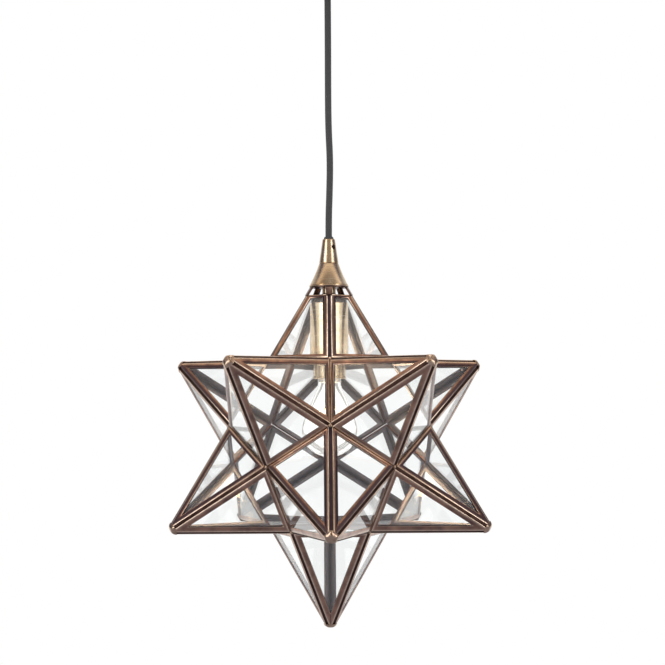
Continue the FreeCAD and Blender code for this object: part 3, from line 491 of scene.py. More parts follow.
def braid_height(turn, along):
    """How high the upper yarn of the braid lies, from 0 to 1."""
    right = BRAID_YARNS * (turn / math.tau + along / BRAID_PITCH)
    left = BRAID_YARNS * (turn / math.tau - along / BRAID_PITCH)
    over = math.cos(math.pi * (right + left)) * math.cos(math.pi * (right - left))
    share = 0.5 + 0.5 * over
    return share * abs(math.sin(math.pi * right)) + (1 - share) * abs(math.sin(math.pi * left))


def make_cord():
    line = cord_line()
    path, length = evenly(line, BRAID_STEP)
    verts, faces = tube_mesh(path, CORD_RADIUS - BRAID_HEIGHT, BRAID_SIDES,
                             lambda turn, along: BRAID_HEIGHT * braid_height(turn, along))
    thing = piece("braided_cord", verts, faces, braid, "cord", "braided_cord", ["pendant_cord"], angle=70)
    lengths = np.linspace(0, length, len(path))
    # The braid's height, which its material turns into painted shade in the hollows between yarns.
    mark(thing, "yarn", "POINT",
         [braid_height(math.tau * j / BRAID_SIDES, s) for s in lengths for j in range(BRAID_SIDES)])


make_cord()

# -------- the points of the star
LOWER_TILT = math.pi - POINT_TILT
STAR_MIDDLE = Vector((0, 0, MIDDLE))
# The azimuth and spin of each point in degrees, and its tilt off the upright. Azimuth 0 is the front.
POINTS = {
    "top": (0, 0.0, 0),
    "upper_front_right": (36, POINT_TILT, 0),
    "upper_right": (108, POINT_TILT, 0),
    "door": (180, POINT_TILT, 0),
    "upper_left": (-108, POINT_TILT, 0),
    "upper_front_left": (-36, POINT_TILT, 0),
    "lower_front": (0, LOWER_TILT, 180),
    "lower_right": (72, LOWER_TILT, 180),
    "lower_rear_right": (144, LOWER_TILT, 180),
    "lower_rear_left": (-144, LOWER_TILT, 180),
    "lower_left": (-72, LOWER_TILT, 180),
    "bottom": (0, math.pi, 0),
}


def point_matrix(azimuth, tilt, spin):
    """Takes a point's own axes, with Z along the point, to their place."""
    turn = Matrix.Rotation(math.radians(azimuth - 90), 4, "Z")
    lean = Matrix.Rotation(tilt, 4, "Y")
    about = Matrix.Rotation(math.radians(spin), 4, "Z")
    return Matrix.Translation(STAR_MIDDLE) @ turn @ lean @ about


def pane_matrix(number):
    """Takes a pane's own axes to its point's: X along the base edge, Y up the pane and Z outwards."""
    facing = FIFTH * (number + 0.5)
    middle = Matrix.Translation((BASE_APOTHEM * math.cos(facing), BASE_APOTHEM * math.sin(facing), BASE_LEVEL))
    return middle @ Matrix.Rotation(facing + math.pi / 2, 4, "Z") @ Matrix.Rotation(PANE_TILT, 4, "X")


# The section of a brass channel, from the ridge or valley edge to the window: the side that a distance is
# measured from, this distance, the face that a height is measured from, this height, and how worn it is,
# which along the rounded edges is also a painted highlight.
# The distances and heights are in millimetres.
EDGE, WINDOW, SLOT = "edge", "window", "slot"
OUTER, INNER = CAME / 2, -CAME / 2
SECTION = [(side, away * MM, level + rise * MM, rub) for side, away, level, rise, rub in (
    (EDGE, 0.0, INNER, 0.1, 0.0),
    (EDGE, 0.0, OUTER, -0.75, 0.0),
    (EDGE, 0.42, OUTER, -0.55, 0.5),
    (EDGE, 0.55, OUTER, -0.42, 1.0),
    (EDGE, 0.90, OUTER, -0.27, 0.9),
    (EDGE, 1.6, OUTER, -0.08, 0.45),
    (EDGE, 2.4, OUTER, 0.0, 0.1),
    (WINDOW, 2.0, OUTER, -0.02, 0.0),
    (WINDOW, 1.2, OUTER, -0.16, 0.0),
    (WINDOW, 0.6, OUTER, -0.36, 0.1),
    (WINDOW, 0.2, OUTER, -0.52, 0.5),
    (WINDOW, 0.0, SLOT_HALF, 0.0, 0.0),
    (SLOT, 0.0, SLOT_HALF, 0.0, 0.0),
    (SLOT, 0.0, -SLOT_HALF, 0.0, 0.0),
    (WINDOW, 0.0, -SLOT_HALF, 0.0, 0.0),
    (WINDOW, 0.0, INNER, 0.25, 0.2),
    (WINDOW, 0.3, INNER, 0.0, 0.5),
    (EDGE, 0.1, INNER, 0.0, 0.2),
)]
OUTSIDE, INSIDE, GROOVE = 0, 1, 2
SECTION_SIDES = [GROOVE] * 2 + [OUTSIDE] * 9 + [GROOVE] * 2 + [INSIDE] * 5
VALLEY_SHARE = 0.3             # the bevel beside a valley is this much narrower than beside a ridge
BEVEL_END = 1 * MM             # and nothing farther than this from the edge is narrowed
CROWN_TOP = (0.45 * CROWN_RAIL, 0.55 * CROWN_RAIL)   # the flat between the slopes of the narrow crown channel
# How strongly the upright bars of the middle plane take the painted shade.
MIDDLE_PAINTED_SHADE = 0.65           # darkness of the upright bars in the star's middle plane
TIP_REACH = 1.5 * MM           # a channel runs on into its tip by this much
SEAM_LOW, SEAM_HIGH = 0.3 * MM, 1.15 * MM            # heights between which solder fills a valley


def slant_top(crowned, inset, level_inset):
    """Where the side of a channel that lies inset from the ridge has its apex and its upper end."""
    apex = SLANT - (EDGE_INSET + inset) / math.sin(HALF_APEX)
    if crowned:
        return apex, (CROWN - BASE_LEVEL) / PANE_RISE - level_inset
    return apex, min((TIP_CUT + TIP_REACH - BASE_LEVEL) / PANE_RISE, apex - TIP_REACH)


def came_ring(base_play, crowned):
    """One brass channel round a pane, in the pane's own axes: vertices, faces, the material of each face and
    how worn each vertex is, which along the edges also paints a highlight."""
    verts, wear_and_highlight_values = [], []
    for side, away, height, rub in SECTION:
        if side == EDGE:
            ridge, level = away, min(away, CROWN_TOP[0])
            valley = away * VALLEY_SHARE if away < BEVEL_END else away
        elif side == WINDOW:
            ridge, valley, level = RIDGE_RAIL - away, VALLEY_RAIL - away, max(CROWN_RAIL - away, CROWN_TOP[1])
        else:
            ridge, valley, level = RIDGE_RAIL - RIDGE_SLOT, VALLEY_RAIL - VALLEY_SLOT, CROWN_RAIL - VALLEY_SLOT
        apex, top = slant_top(crowned, ridge, level)
        low = EDGE_INSET + base_play + valley
        half_low, half_top = (apex - low) * math.tan(HALF_APEX), (apex - top) * math.tan(HALF_APEX)
        for x, y in ((-half_low, low), (half_low, low), (half_top, top), (-half_top, top)):
            verts.append((x, y, height))
            wear_and_highlight_values.append(rub)
    faces = grid_faces(len(SECTION), 4, close_rows=True)
    # The foot of the bevel is dark in the groove along a ridge, but not along a valley.
    sides = [OUTSIDE if row == 1 and corner == 0 else material
             for row, material in enumerate(SECTION_SIDES) for corner in range(4)]
    return verts, faces, sides, wear_and_highlight_values


def prism(ends):
    """A closed bar between two end sections of as many corners each."""
    return ends[0] + ends[1], capped(2, len(ends[0]))


def joint_fillings(crowned, with_base):
    """The dark solder beside a channel, in the pane's own axes: half of the groove along each ridge, and half
    of the seam along the base. The neighbour's channel brings the other half."""
    bars = []
    groove = [(EDGE_INSET, INNER + 0.1 * MM), (EDGE_INSET, 0.45 * MM), (0.05 * MM * HALF_CREASE, -0.05 * MM)]
    for side in (-1, 1):
        foot, head = [], []
        for away, height in groove:
            apex, top = slant_top(crowned, away - EDGE_INSET, 0.2 * MM)
            for end, y in ((foot, 0.4 * MM), (head, top)):
                end.append((side * (apex - y) * math.tan(HALF_APEX), y, height))
        bars.append(prism([foot, head]))
    if with_base:
        seam = [(EDGE_INSET, SEAM_HIGH), (SEAM_HIGH * HALF_CREASE, SEAM_HIGH), (SEAM_LOW * HALF_CREASE, SEAM_LOW),
                (EDGE_INSET, SEAM_LOW)]
        half = (SLANT - EDGE_INSET / math.sin(HALF_APEX)) * math.tan(HALF_APEX)
        bars.append(prism([[(side * half, y, z) for y, z in seam] for side in (-1, 1)]))
    return bars


def painted_shade_of(verts, face):
    """How much painted shade a face of a channel takes. The bars in the star's middle plane, which the
    photograph shows as upright, take a painted shade of nearly black."""
    corners = [verts[i] for i in face]
    run = max((b - a for a, b in zip(corners, corners[1:] + corners[:1])), key=lambda side: side.length)
    return MIDDLE_PAINTED_SHADE if abs(run.x) < 0.05 * run.length else 0.0


def point_frame(name, directions):
    """The five channels of one point as one piece."""
    hinged, crowned = name == "door", name == "top"
    verts, faces, sides, wear_and_highlight_values = came_ring(DOOR_PLAY if hinged else 0.0, crowned)
    fillings = joined(joint_fillings(crowned, not hinged))
    places = [point_matrix(*directions) @ pane_matrix(number) for number in range(5)]
    all_verts, all_faces = joined(
        [moved(mesh, place) for mesh in ((verts, faces), fillings) for place in places])
    sides = sides * 5 + [GROOVE] * 5 * len(fillings[1])
    wear_and_highlight_values = wear_and_highlight_values * 5 + [0.0] * 5 * len(fillings[0])
    thing = piece(f"{name}_point_cames", all_verts, all_faces, [came_outside, came_inside, came_groove],
                  "door" if hinged else "star", "frame_metal", [f"{name}_point_frames"], 50, sides)
    # Edges paler from the section: partly wear, partly painted highlight.
    mark(thing, "rub", "POINT", wear_and_highlight_values)
    # Painted shade on the upright bars of the middle plane.
    mark(thing, "painted_shade", "FACE", [painted_shade_of(all_verts, face) for face in all_faces])


def tip_mesh(seed):
    """The small solder tip of a point: five-sided where it meets the channels and round at its end."""
    waves = np.random.default_rng(seed).uniform(-1, 1, (3, 2))
    reach = TIP_RADIUS + CAME * ROOT_5 / 2
    columns = 40
    turns = [math.pi / 2 * i / 9 for i in range(10)]
    levels = [TIP_CUT - 0.6 * MM, TIP_CUT - 0.2 * MM] + [TIP_END - TIP_ROUND * (1 - math.sin(t)) for t in turns]
    insets = [0, 0] + [TIP_ROUND * (1 - math.cos(t)) for t in turns]
    verts = []
    for level, inset in zip(levels, insets):
        apothem = (reach - level) / 2 + 0.15 * MM
        roundness = inset / TIP_ROUND
        for j in range(columns):
            turn = math.tau * j / columns
            corner = min(1 / math.cos((turn % FIFTH) - FIFTH / 2), 1.15)
            r = apothem * ((1 - roundness) * corner + roundness * 1.04) - inset
            for k, (size, phase) in enumerate(waves, start=2):
                r += 0.12 * MM * size * math.sin(k * turn + 3 * phase)
            verts.append((r * math.cos(turn), r * math.sin(turn), level))
    return verts, capped(len(levels), columns)


# One mark, for wear and painted highlight, over a whole piece.
def mark_wear_and_highlight(thing, value):
    mark(thing, "rub", "POINT", [value] * len(thing.data.vertices))


# The solder tips are a little paler: partly wear, partly painted highlight.
TIP_WEAR_AND_HIGHLIGHT = 0.15
fixed_tips = []
for seed, (name, directions) in enumerate(POINTS.items()):
    point_frame(name, directions)
    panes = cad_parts[f"{name}_point_panes"]
    panes.data.materials.clear()
    panes.data.materials.append(pane_glass)
    tip = moved(tip_mesh(seed), point_matrix(*directions))
    if name == "door":
        mark_wear_and_highlight(piece("door_solder_tip", *tip, solder, "door", "solder", ["door_point_tip"], 60), TIP_WEAR_AND_HIGHLIGHT)
    elif name != "top":
        fixed_tips.append(tip)
mark_wear_and_highlight(piece("star_solder_tips", *joined(fixed_tips), solder, "star", "solder", ["solder_tips"], 60), TIP_WEAR_AND_HIGHLIGHT)


def inner_corners():
    """The twenty corners where three points meet, as places from the middle of the star."""
    near, far = BASE_APOTHEM / math.cos(FIFTH / 2), 2 * BASE_APOTHEM
    level = BASE_LEVEL * (ROOT_5 - 2)
    for number in range(5):
        for turn, radius, height in (
            (number, near, BASE_LEVEL),
            (number, far, level),
            (number + 0.5, far, -level),
            (number + 0.5, near, -BASE_LEVEL),
        ):
            yield Vector((radius * math.sin(FIFTH * turn), -radius * math.cos(FIFTH * turn), height))


def corner_solder():
    """A small run of solder at each corner where three points meet, except round the hinged point."""
    random = np.random.default_rng(7)
    drops = []
    to_door = point_matrix(*POINTS["door"]).inverted()
    for place in inner_corners():
        if (to_door @ (place + STAR_MIDDLE)).z > BASE_LEVEL - 1 * MM:
            continue
        out = place.normalized()
        size = random.uniform(1.7, 2.3) * MM
        turn = out.to_track_quat("Z", "X").to_matrix().to_4x4()
        scale = Matrix.Diagonal((size * random.uniform(0.9, 1.15), size, size * 0.62, 1))
        ball = bmesh.new()
        bmesh.ops.create_icosphere(ball, subdivisions=3, radius=1)
        mesh = [v.co.copy() for v in ball.verts], [tuple(v.index for v in f.verts) for f in ball.faces]
        ball.free()
        drops.append(moved(mesh, Matrix.Translation(place + out * 0.7 * MM + STAR_MIDDLE) @ turn @ scale))
    mark_wear_and_highlight(piece("corner_solder", *joined(drops), solder, "star", "solder", (), 80), 0.0)


corner_solder()

# -------- hardware that keeps the frame's own solids
SHARP = 32                     # an edge sharper than this many degrees is softened, and shaded as an edge


def softened(node_name, width, material, body, rub=None):
    """The frame's own solid as a piece, with its edges rounded by a width in millimetres."""
    mesh = bmesh.new()
    mesh.from_mesh(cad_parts[node_name].data)
    bmesh.ops.remove_doubles(mesh, verts=mesh.verts, dist=0.002 * MM)
    bmesh.ops.dissolve_limit(mesh, angle_limit=math.radians(0.5), verts=mesh.verts, edges=mesh.edges)
    if width:
        limit = math.radians(SHARP)
        edges = [e for e in mesh.edges if len(e.link_faces) == 2 and e.calc_face_angle(0) > limit]
        bmesh.ops.bevel(mesh, geom=edges, offset=width * MM, segments=2, profile=0.6, affect="EDGES",
                        clamp_overlap=True)
    bmesh.ops.triangulate(mesh, faces=[f for f in mesh.faces if len(f.verts) > 4])
    data = bpy.data.meshes.new(f"{node_name}_finish")
    mesh.to_mesh(data)
    mesh.free()
    data.materials.append(material)
    shade(data, SHARP)
    thing = riding(f"{node_name}_finish", data, body, [node_name])
    if rub is not None:
        mark_wear_and_highlight(thing, rub)


def drilled(thing, start, along, radius, depth):
    """Takes a round hole out of a piece, from start along a direction."""
    turn = Vector(along).to_track_quat("Z", "X").to_matrix().to_4x4()
    place = Matrix.Translation(Vector(start) + Vector(along).normalized() * depth / 2) @ turn
    data = bpy.data.meshes.new("drill")
    mesh = bmesh.new()
    bmesh.ops.create_cone(mesh, cap_ends=True, segments=40, radius1=radius, radius2=radius, depth=depth,
                          matrix=place)
    mesh.to_mesh(data)
    mesh.free()
    drill = placed("drill", data)
    cut = thing.modifiers.new("cut", "BOOLEAN")
    cut.object = drill
    cut.operation = "DIFFERENCE"
    cut.solver = "EXACT"
    bpy.context.view_layer.update()
    result = bpy.data.meshes.new_from_object(thing.evaluated_get(bpy.context.evaluated_depsgraph_get()))
    thing.modifiers.clear()
    thing.data = result
    bpy.data.objects.remove(drill)
    shade(result, SHARP)


def turned(name, profile, body, node, segments=96):
    """A turned piece of satin brass in place of one node."""
    return lathe(name, profile, satin_brass, body, "satin_brass", node, segments)


# -------- crown, cap and neck
HUB_THICK = 1.3 * MM
CAP_RIM, CAP_RIM_RADIUS = 169.3 * MM, 21.3 * MM
CAP_SEAM, CAP_SEAM_RADIUS = 194.4 * MM, 10.45 * MM
CAP_WAIST, CAP_WAIST_RADIUS = 182.5 * MM, 15.1 * MM
CAP_TOP, CAP_TOP_RADIUS = 220.8 * MM, 6.4 * MM
CAP_WALL = 1.1 * MM
NIPPLE = 5.0 * MM
NIPPLE_END = 206 * MM
SET_TURN = math.radians(40)
SET_LEVEL, SET_RADIUS = 212 * MM, 2.5 * MM
BUSHING_HEIGHT = 2.6 * MM
NECK_RADIUS, NECK_FOOT, NECK_TOP = 7.2 * MM, 161.8 * MM, CAP_RIM - HUB_THICK
SLEEVE_TOP, SLEEVE_FOOT, SLEEVE_RADIUS = 151.6 * MM, 93 * MM, 20 * MM
COLLAR_FOOT, COLLAR_RADIUS = 70 * MM, 17.75 * MM
SHEET = 0.8 * MM

softened("crown_struts", 0.35, crown_bronze, "star", rub=0.12)
softened("crown_plate", 0.25, crown_bronze, "star", rub=0.1)
softened("crown_nut", 0.4, black_steel, "star")
softened("cap_threaded_tube", 0, black_steel, "star")


def waisted(level):
    """Radius of the lower cone at a level: a gentle hollow through its rim, its waist and its seam."""
    knots = ((CAP_RIM + 1.6 * MM, CAP_RIM_RADIUS - 0.6 * MM), (CAP_WAIST, CAP_WAIST_RADIUS),
             (CAP_SEAM, CAP_SEAM_RADIUS))
    return sum(radius * math.prod((level - other) / (knot - other) for other, _ in knots if other != knot)
               for knot, radius in knots)


def spread(start, end, count):
    return [start + (end - start) * i / count for i in range(count + 1)]


def make_cap():
    levels = spread(CAP_RIM + 1.9 * MM, CAP_SEAM - 0.4 * MM, 22)
    lip = offsets(CAP_RIM_RADIUS, CAP_RIM, (-0.5, 0), (-0.12, 0.12), (0, 0.45), (-0.02, 0.9), (-0.25, 1.25),
                  (-0.75, 1.45), (-0.95, 1.62))
    flank = [(waisted(level), level) for level in levels]
    seam = offsets(CAP_SEAM_RADIUS, CAP_SEAM, (-0.5, -0.05), (-1.4, 0))
    inside = [(max(waisted(level) - CAP_WALL, CAP_SEAM_RADIUS - CAP_WALL - 1 * MM), level - CAP_WALL * 0.5)
              for level in reversed(levels[2:])]
    foot = [(CAP_RIM_RADIUS - CAP_WALL, CAP_RIM)]
    turned("cap_lower_shell", lip + flank + seam + inside + foot, "star", "cap_lower_cone", 128)
    start = CAP_SEAM + 0.6 * MM
    slope = (CAP_TOP_RADIUS + 0.4 * MM - CAP_SEAM_RADIUS) / (CAP_TOP - 0.8 * MM - start)
    ends = offsets(CAP_SEAM_RADIUS, CAP_SEAM, (-0.75, 0), (-0.35, 0.12))
    cone = [(CAP_SEAM_RADIUS + slope * (level - start), level) for level in spread(start, CAP_TOP - 1.0 * MM, 8)]
    crest = offsets(CAP_TOP_RADIUS, CAP_TOP, (0.34, -0.6), (0.16, -0.25), (-0.2, -0.04), (-0.6, 0))
    bore = [(CORD_RADIUS, CAP_TOP), (CORD_RADIUS, NIPPLE_END), (NIPPLE, NIPPLE_END), (NIPPLE, CAP_SEAM)]
    upper = turned("cap_upper_turned", ends + cone + crest + bore, "star", "cap_upper_cone", 128)
    outward = Vector((math.sin(SET_TURN), -math.cos(SET_TURN), 0))
    hole = outward * 3 * MM + Vector((0, 0, SET_LEVEL + MIDDLE))
    drilled(upper, hole, outward, SET_RADIUS, CAP_SEAM_RADIUS)


make_cap()
softened("cap_set_screw", 0.12, black_steel, "star")
lathe("cord_bushing_turned", rounded([
    (CORD_RADIUS, CAP_TOP),
    (5.3 * MM, CAP_TOP),
    (5.25 * MM, CAP_TOP + BUSHING_HEIGHT * 0.35),
    (4.5 * MM, CAP_TOP + BUSHING_HEIGHT),
    (CORD_RADIUS, CAP_TOP + BUSHING_HEIGHT),
], [0, 0.2, 0.4, 0.35, 0.2]), bushing_rubber, "star", "dark_rubber", "cord_bushing")
turned("brass_neck_turned", rounded([
    (NIPPLE, NECK_FOOT), (NECK_RADIUS, NECK_FOOT), (NECK_RADIUS, NECK_TOP), (NIPPLE, NECK_TOP),
], [0, 0.4, 0.3, 0]), "star", "brass_neck")
lathe("neck_lock_ring_turned", rounded([
    (NIPPLE, SLEEVE_TOP), (NECK_RADIUS + 1 * MM, SLEEVE_TOP), (NECK_RADIUS + 1 * MM, NECK_FOOT - 1 * MM),
    (NECK_RADIUS, NECK_FOOT), (NIPPLE, NECK_FOOT),
], [0, 0.4, 0.3, 0.2, 0]), black_steel, "star", "dark_steel", "neck_lock_ring")
turned("socket_sleeve_drawn", rounded([
    (NIPPLE, SLEEVE_TOP - SHEET), (SLEEVE_RADIUS - SHEET, SLEEVE_TOP - SHEET),
    (SLEEVE_RADIUS - SHEET, SLEEVE_FOOT), (SLEEVE_RADIUS, SLEEVE_FOOT),
    (SLEEVE_RADIUS, SLEEVE_TOP), (NIPPLE, SLEEVE_TOP),
], [0, 1.2, 0.2, 0.25, 1.8, 0], 6), "star", "socket_sleeve", 128)
turned("socket_collar_drawn", rounded(
    offsets(COLLAR_RADIUS - SHEET, COLLAR_FOOT, (0, 0.9), (0.5, 0))
    + offsets(COLLAR_RADIUS, COLLAR_FOOT, (0.6, 0), (0.6, 1.2), (0, 2.2))
    + [(COLLAR_RADIUS, SLEEVE_FOOT - 1.2 * MM)]
    + offsets(SLEEVE_RADIUS, SLEEVE_FOOT, (0, -1.2), (0, 0))
    + offsets(COLLAR_RADIUS, SLEEVE_FOOT, (0, 0.6), (0, 8))
    + [(COLLAR_RADIUS - SHEET, SLEEVE_FOOT + 8 * MM)],
    [0.3, 0.3, 0.5, 0.5, 0.8, 0.8, 0.4, 0.3, 0.3, 0.2, 0.2]), "star", "socket_collar", 128)
softened("lampholder_body", 0, black_resin, "star")
softened("screw_shell", 0, pressed_brass, "star")
softened("middle_contact", 0.2, pressed_brass, "star")
softened("cord_end_and_wires", 0, core_rubber, "star")

# -------- the bulb
BULB_SKIRT, BULB_CAP_RADIUS, BULB_CAP_HEIGHT = 66 * MM, 13.2 * MM, 22 * MM
BULB_END, BULB_TIP_RADIUS, BULB_WALL = 93 * MM, 4.8 * MM, 1.0 * MM
BULB_ROUND, BULB_CENTRE, BULB_HOLLOW = 29.5 * MM, 15.5 * MM, 15 * MM
BULB_NECK_END = BULB_SKIRT + 2.4 * MM
THREAD_PITCH, THREAD_DEPTH = 3.6 * MM, 0.25 * MM
THREAD_END, THREAD_FADE = 2.5 * MM, 2 * MM      # plain above and below the thread, and its run-out
STEM_FOOT, STEM_RADIUS = 44 * MM, 4.2 * MM
FILAMENT_LEVEL, FILAMENT_REACH = 34 * MM, 12 * MM


def arc(centre, radius, start, end, steps):
    return [(centre[0] + radius * math.cos(turn), centre[1] + radius * math.sin(turn))
            for turn in spread(start, end, steps)]


def bulb_line(inset):
    """One skin of the bulb's glass, from its lowest spot up a straight flank to the end of its neck."""
    neck = BULB_CAP_RADIUS - 0.6 * MM - inset
    end = BULB_ROUND - inset
    hollow = BULB_HOLLOW + inset
    rise = BULB_SKIRT - BULB_CENTRE
    lean = math.atan2(rise, neck + hollow) - math.acos((end + hollow) / math.hypot(neck + hollow, rise))
    belly = arc((0, BULB_CENTRE), end, -math.pi / 2, lean, 40)
    belly[0] = (0, BULB_CENTRE - end)
    waist = arc((neck + hollow, BULB_SKIRT), hollow, math.pi + lean, math.pi, 12)
    return belly + waist + [(neck, BULB_NECK_END)]


def cap_thread(turn, level):
    """The round screw thread rolled in the bulb's cap."""
    height = level - MIDDLE - BULB_SKIRT
    inside = min(height - THREAD_END, BULB_CAP_HEIGHT - THREAD_END - height)
    if inside < 0:
        return -THREAD_DEPTH
    wave = math.cos(turn + math.tau * height / THREAD_PITCH)
    return THREAD_DEPTH * (wave * min(1.0, inside / THREAD_FADE) - 1)


lathe("bulb_blown_glass", bulb_line(0) + list(reversed(bulb_line(BULB_WALL))), bulb_clear, "bulb", "bulb_glass",
      "bulb_glass", segments=112, angle=60)
skirt = [(BULB_CAP_RADIUS, level) for level in spread(BULB_SKIRT, BULB_SKIRT + 20.6 * MM, 56)]
shoulder, crest = BULB_SKIRT + 21.4 * MM, BULB_SKIRT + BULB_CAP_HEIGHT
lathe("bulb_screw_cap_rolled", [(BULB_CAP_RADIUS - 0.6 * MM, BULB_SKIRT)] + skirt + [
    (BULB_CAP_RADIUS - 0.3 * MM, shoulder),
    (BULB_CAP_RADIUS - 1.0 * MM, crest),
    (BULB_TIP_RADIUS + 1 * MM, crest + 0.4 * MM),
    (BULB_TIP_RADIUS, BULB_END - 1.2 * MM),
    (BULB_TIP_RADIUS - 2 * MM, BULB_END),
    (0.4 * MM, BULB_END),
    (0.4 * MM, shoulder),
    (BULB_CAP_RADIUS - 1.0 * MM, shoulder),
], cap_metal, "bulb", "bulb_cap_metal", "bulb_screw_cap", angle=50, wobble=cap_thread)
stem_tip = [(STEM_RADIUS * share, STEM_FOOT + rise * MM)
            for share, rise in ((0, 0), (0.3, 0.1), (0.5, 0.6), (0.85, 2.4), (1, 5.0))]
lathe("bulb_glass_stem", stem_tip + [
    (STEM_RADIUS, BULB_SKIRT - 3 * MM),
    (STEM_RADIUS * 1.4, BULB_SKIRT - 0.6 * MM),
    (STEM_RADIUS * 2.2, BULB_SKIRT + 1.0 * MM),
    (BULB_CAP_RADIUS - 1.7 * MM, BULB_SKIRT + 1.8 * MM),
    (BULB_CAP_RADIUS - 1.7 * MM, BULB_NECK_END),
    (0, BULB_NECK_END),
], lit_stem, "bulb", "bulb_glass", "bulb_stem", segments=48, angle=50)


def make_filament():
    """A coiled wire in a shallow bow between its two leads."""
    coil_radius, wire = 0.52 * MM, 0.16 * MM
    turns, steps = 34, 14
    bow = FILAMENT_REACH / 3
    level = Vector((0, 1, 0))

    def middle(share):
        x = FILAMENT_REACH * (2 * share - 1)
        return Vector((x, 0, MIDDLE + FILAMENT_LEVEL + bow * (1 - (x / FILAMENT_REACH) ** 2)))

    path = []
    for i in range(turns * steps + 1):
        share = i / (turns * steps)
        ahead = (middle(min(1, share + 0.01)) - middle(max(0, share - 0.01))).normalized()
        up = level.cross(ahead).normalized()
        turn = math.tau * i / steps
        path.append(middle(share) + (up * math.sin(turn) + level * math.cos(turn)) * coil_radius)
    meshes = [tube_mesh(path, wire, 5)]
    for side in (-1, 1):
        foot = Vector((side * STEM_RADIUS / 2, 0, MIDDLE + STEM_FOOT))
        end = middle((side + 1) / 2)
        bend = Vector((side * (FILAMENT_REACH - 0.4 * MM), 0, end.z + 1.5 * MM))
        meshes.append(tube_mesh([foot, foot.lerp(bend, 0.5), bend, end], 0.3 * MM, 8))
    materials = [min(number, 1) for number, mesh in enumerate(meshes) for face in mesh[1]]
    piece("bulb_coil_and_leads", *joined(meshes), [hot_wire, zinc_steel], "bulb", "filament", ["bulb_filament"],
          60, materials)


make_filament()

# -------- the hinge of the rear point
softened("hinge_fixed_knuckles", 0.15, came_outside, "star", rub=0.15)
softened("hinge_door_knuckle", 0.15, came_outside, "door", rub=0.15)
softened("hinge_pin", 0.15, came_outside, "star", rub=0.3)

# -------- the ceiling rose
ROSE_RADIUS, ROSE_DEPTH, ROSE_WALL = 50 * MM, 26 * MM, 1.2 * MM
GRIP_HEIGHT, GRIP_RADIUS, GRIP_FOOT = 13 * MM, 8 * MM, 7 * MM
GRIP_END = -ROSE_DEPTH - GRIP_HEIGHT
SIDE_LEVEL, SIDE_SCREW = 10 * MM, 1.9 * MM
MOUTH_DEEP, MOUTH_PLAY, MOUTH_FLARE, BEND_ROOM = 3 * MM, 0.3 * MM, math.radians(26), 1.8 * MM


def above(profile):
    """A profile measured from the ceiling, as lathe wants it, from the middle of the star."""
    return [(radius, level - MIDDLE) for radius, level in profile]


rose = turned("ceiling_rose_spun", above(rounded([
    (NIPPLE, -ROSE_DEPTH), (ROSE_RADIUS, -ROSE_DEPTH), (ROSE_RADIUS, 0), (ROSE_RADIUS - ROSE_WALL, 0),
    (ROSE_RADIUS - ROSE_WALL, ROSE_WALL - ROSE_DEPTH), (NIPPLE, ROSE_WALL - ROSE_DEPTH),
], [0, 6.5, 0.35, 0.35, 5.5, 0], 8)), "rose", "ceiling_rose", 144)
for side in (-1, 1):
    drilled(rose, (side * (ROSE_RADIUS - 3 * MM), 0, -SIDE_LEVEL), (side, 0, 0), SIDE_SCREW, 5 * MM)
bend = GRIP_END + MOUTH_DEEP
mouth = CORD_RADIUS / math.cos(MOUTH_FLARE) + MOUTH_PLAY
shelf = -ROSE_DEPTH - GRIP_HEIGHT / 2
turned("cord_grip_turned", above(rounded([
    (mouth + MOUTH_DEEP * math.tan(MOUTH_FLARE), GRIP_END), (GRIP_FOOT, GRIP_END),
    (GRIP_FOOT + 0.1 * MM, GRIP_END + 1 * MM), (GRIP_RADIUS, shelf),
    (GRIP_RADIUS, -ROSE_DEPTH), (NIPPLE, -ROSE_DEPTH), (NIPPLE, shelf), (CORD_RADIUS, shelf),
    (CORD_RADIUS, bend + BEND_ROOM), (mouth, bend + BEND_ROOM), (mouth, bend),
], [0, 0.3, 0.3, 0.6, 0.3, 0, 0, 0, 0, 0, 0])), "rose", "cord_grip")
softened("ceiling_strap", 0.25, zinc_steel, "rose")
softened("rose_side_screws", 0.3, satin_brass, "rose")
softened("terminal_block", 0.5, white_resin, "rose")
softened("terminal_screws", 0.1, zinc_steel, "rose")
softened("cord_start_and_wires", 0, core_rubber, "rose")
softened("rose_threaded_tube", 0, zinc_steel, "rose")
softened("rose_nut", 0.4, zinc_steel, "rose")

# -------- stage and light
FLOOR_LEVEL, FLOOR_HALF = -1.30, 6.0
FLOOR_FADE = (0.7, 1.8)        # behind the star, metal sees the floor go from grey to white over this stretch
BELOW = (0.36, 0.36, 0.42)     # what metal sees under the star
DUSK, LATE_DUSK = (0.10, 0.088, 0.105), (0.11, 0.11, 0.19)    # at the sides, level and higher up
WARM_BAND = (1.15, 0.98, 0.82)
BROWN_BAND = (0.22, 0.19, 0.18)


def stage_piece(name, data):
    thing = placed(name, data)
    return thing


def seen_directly(tree, output, lit, glossy):
    """Shows a backdrop: white for rays from the camera and through glass, the glossy colour for rays off
    metal, and the lit shader for all others."""
    path = outputs(tree, "LightPath")
    direct = maths(tree, "MAXIMUM", path["Is Camera Ray"], path["Is Transmission Ray"])
    for share, colour in ((path["Is Glossy Ray"], glossy), (direct, grey(1.0))):
        glow = outputs(tree, "Emission", {"Color": colour})[0]
        lit = outputs(tree, "MixShader", {0: share, 1: lit, 2: glow})[0]
    show(tree, output, lit)


def part_of(tree, vector, axis):
    return outputs(tree, "SeparateXYZ", {0: vector})[axis]


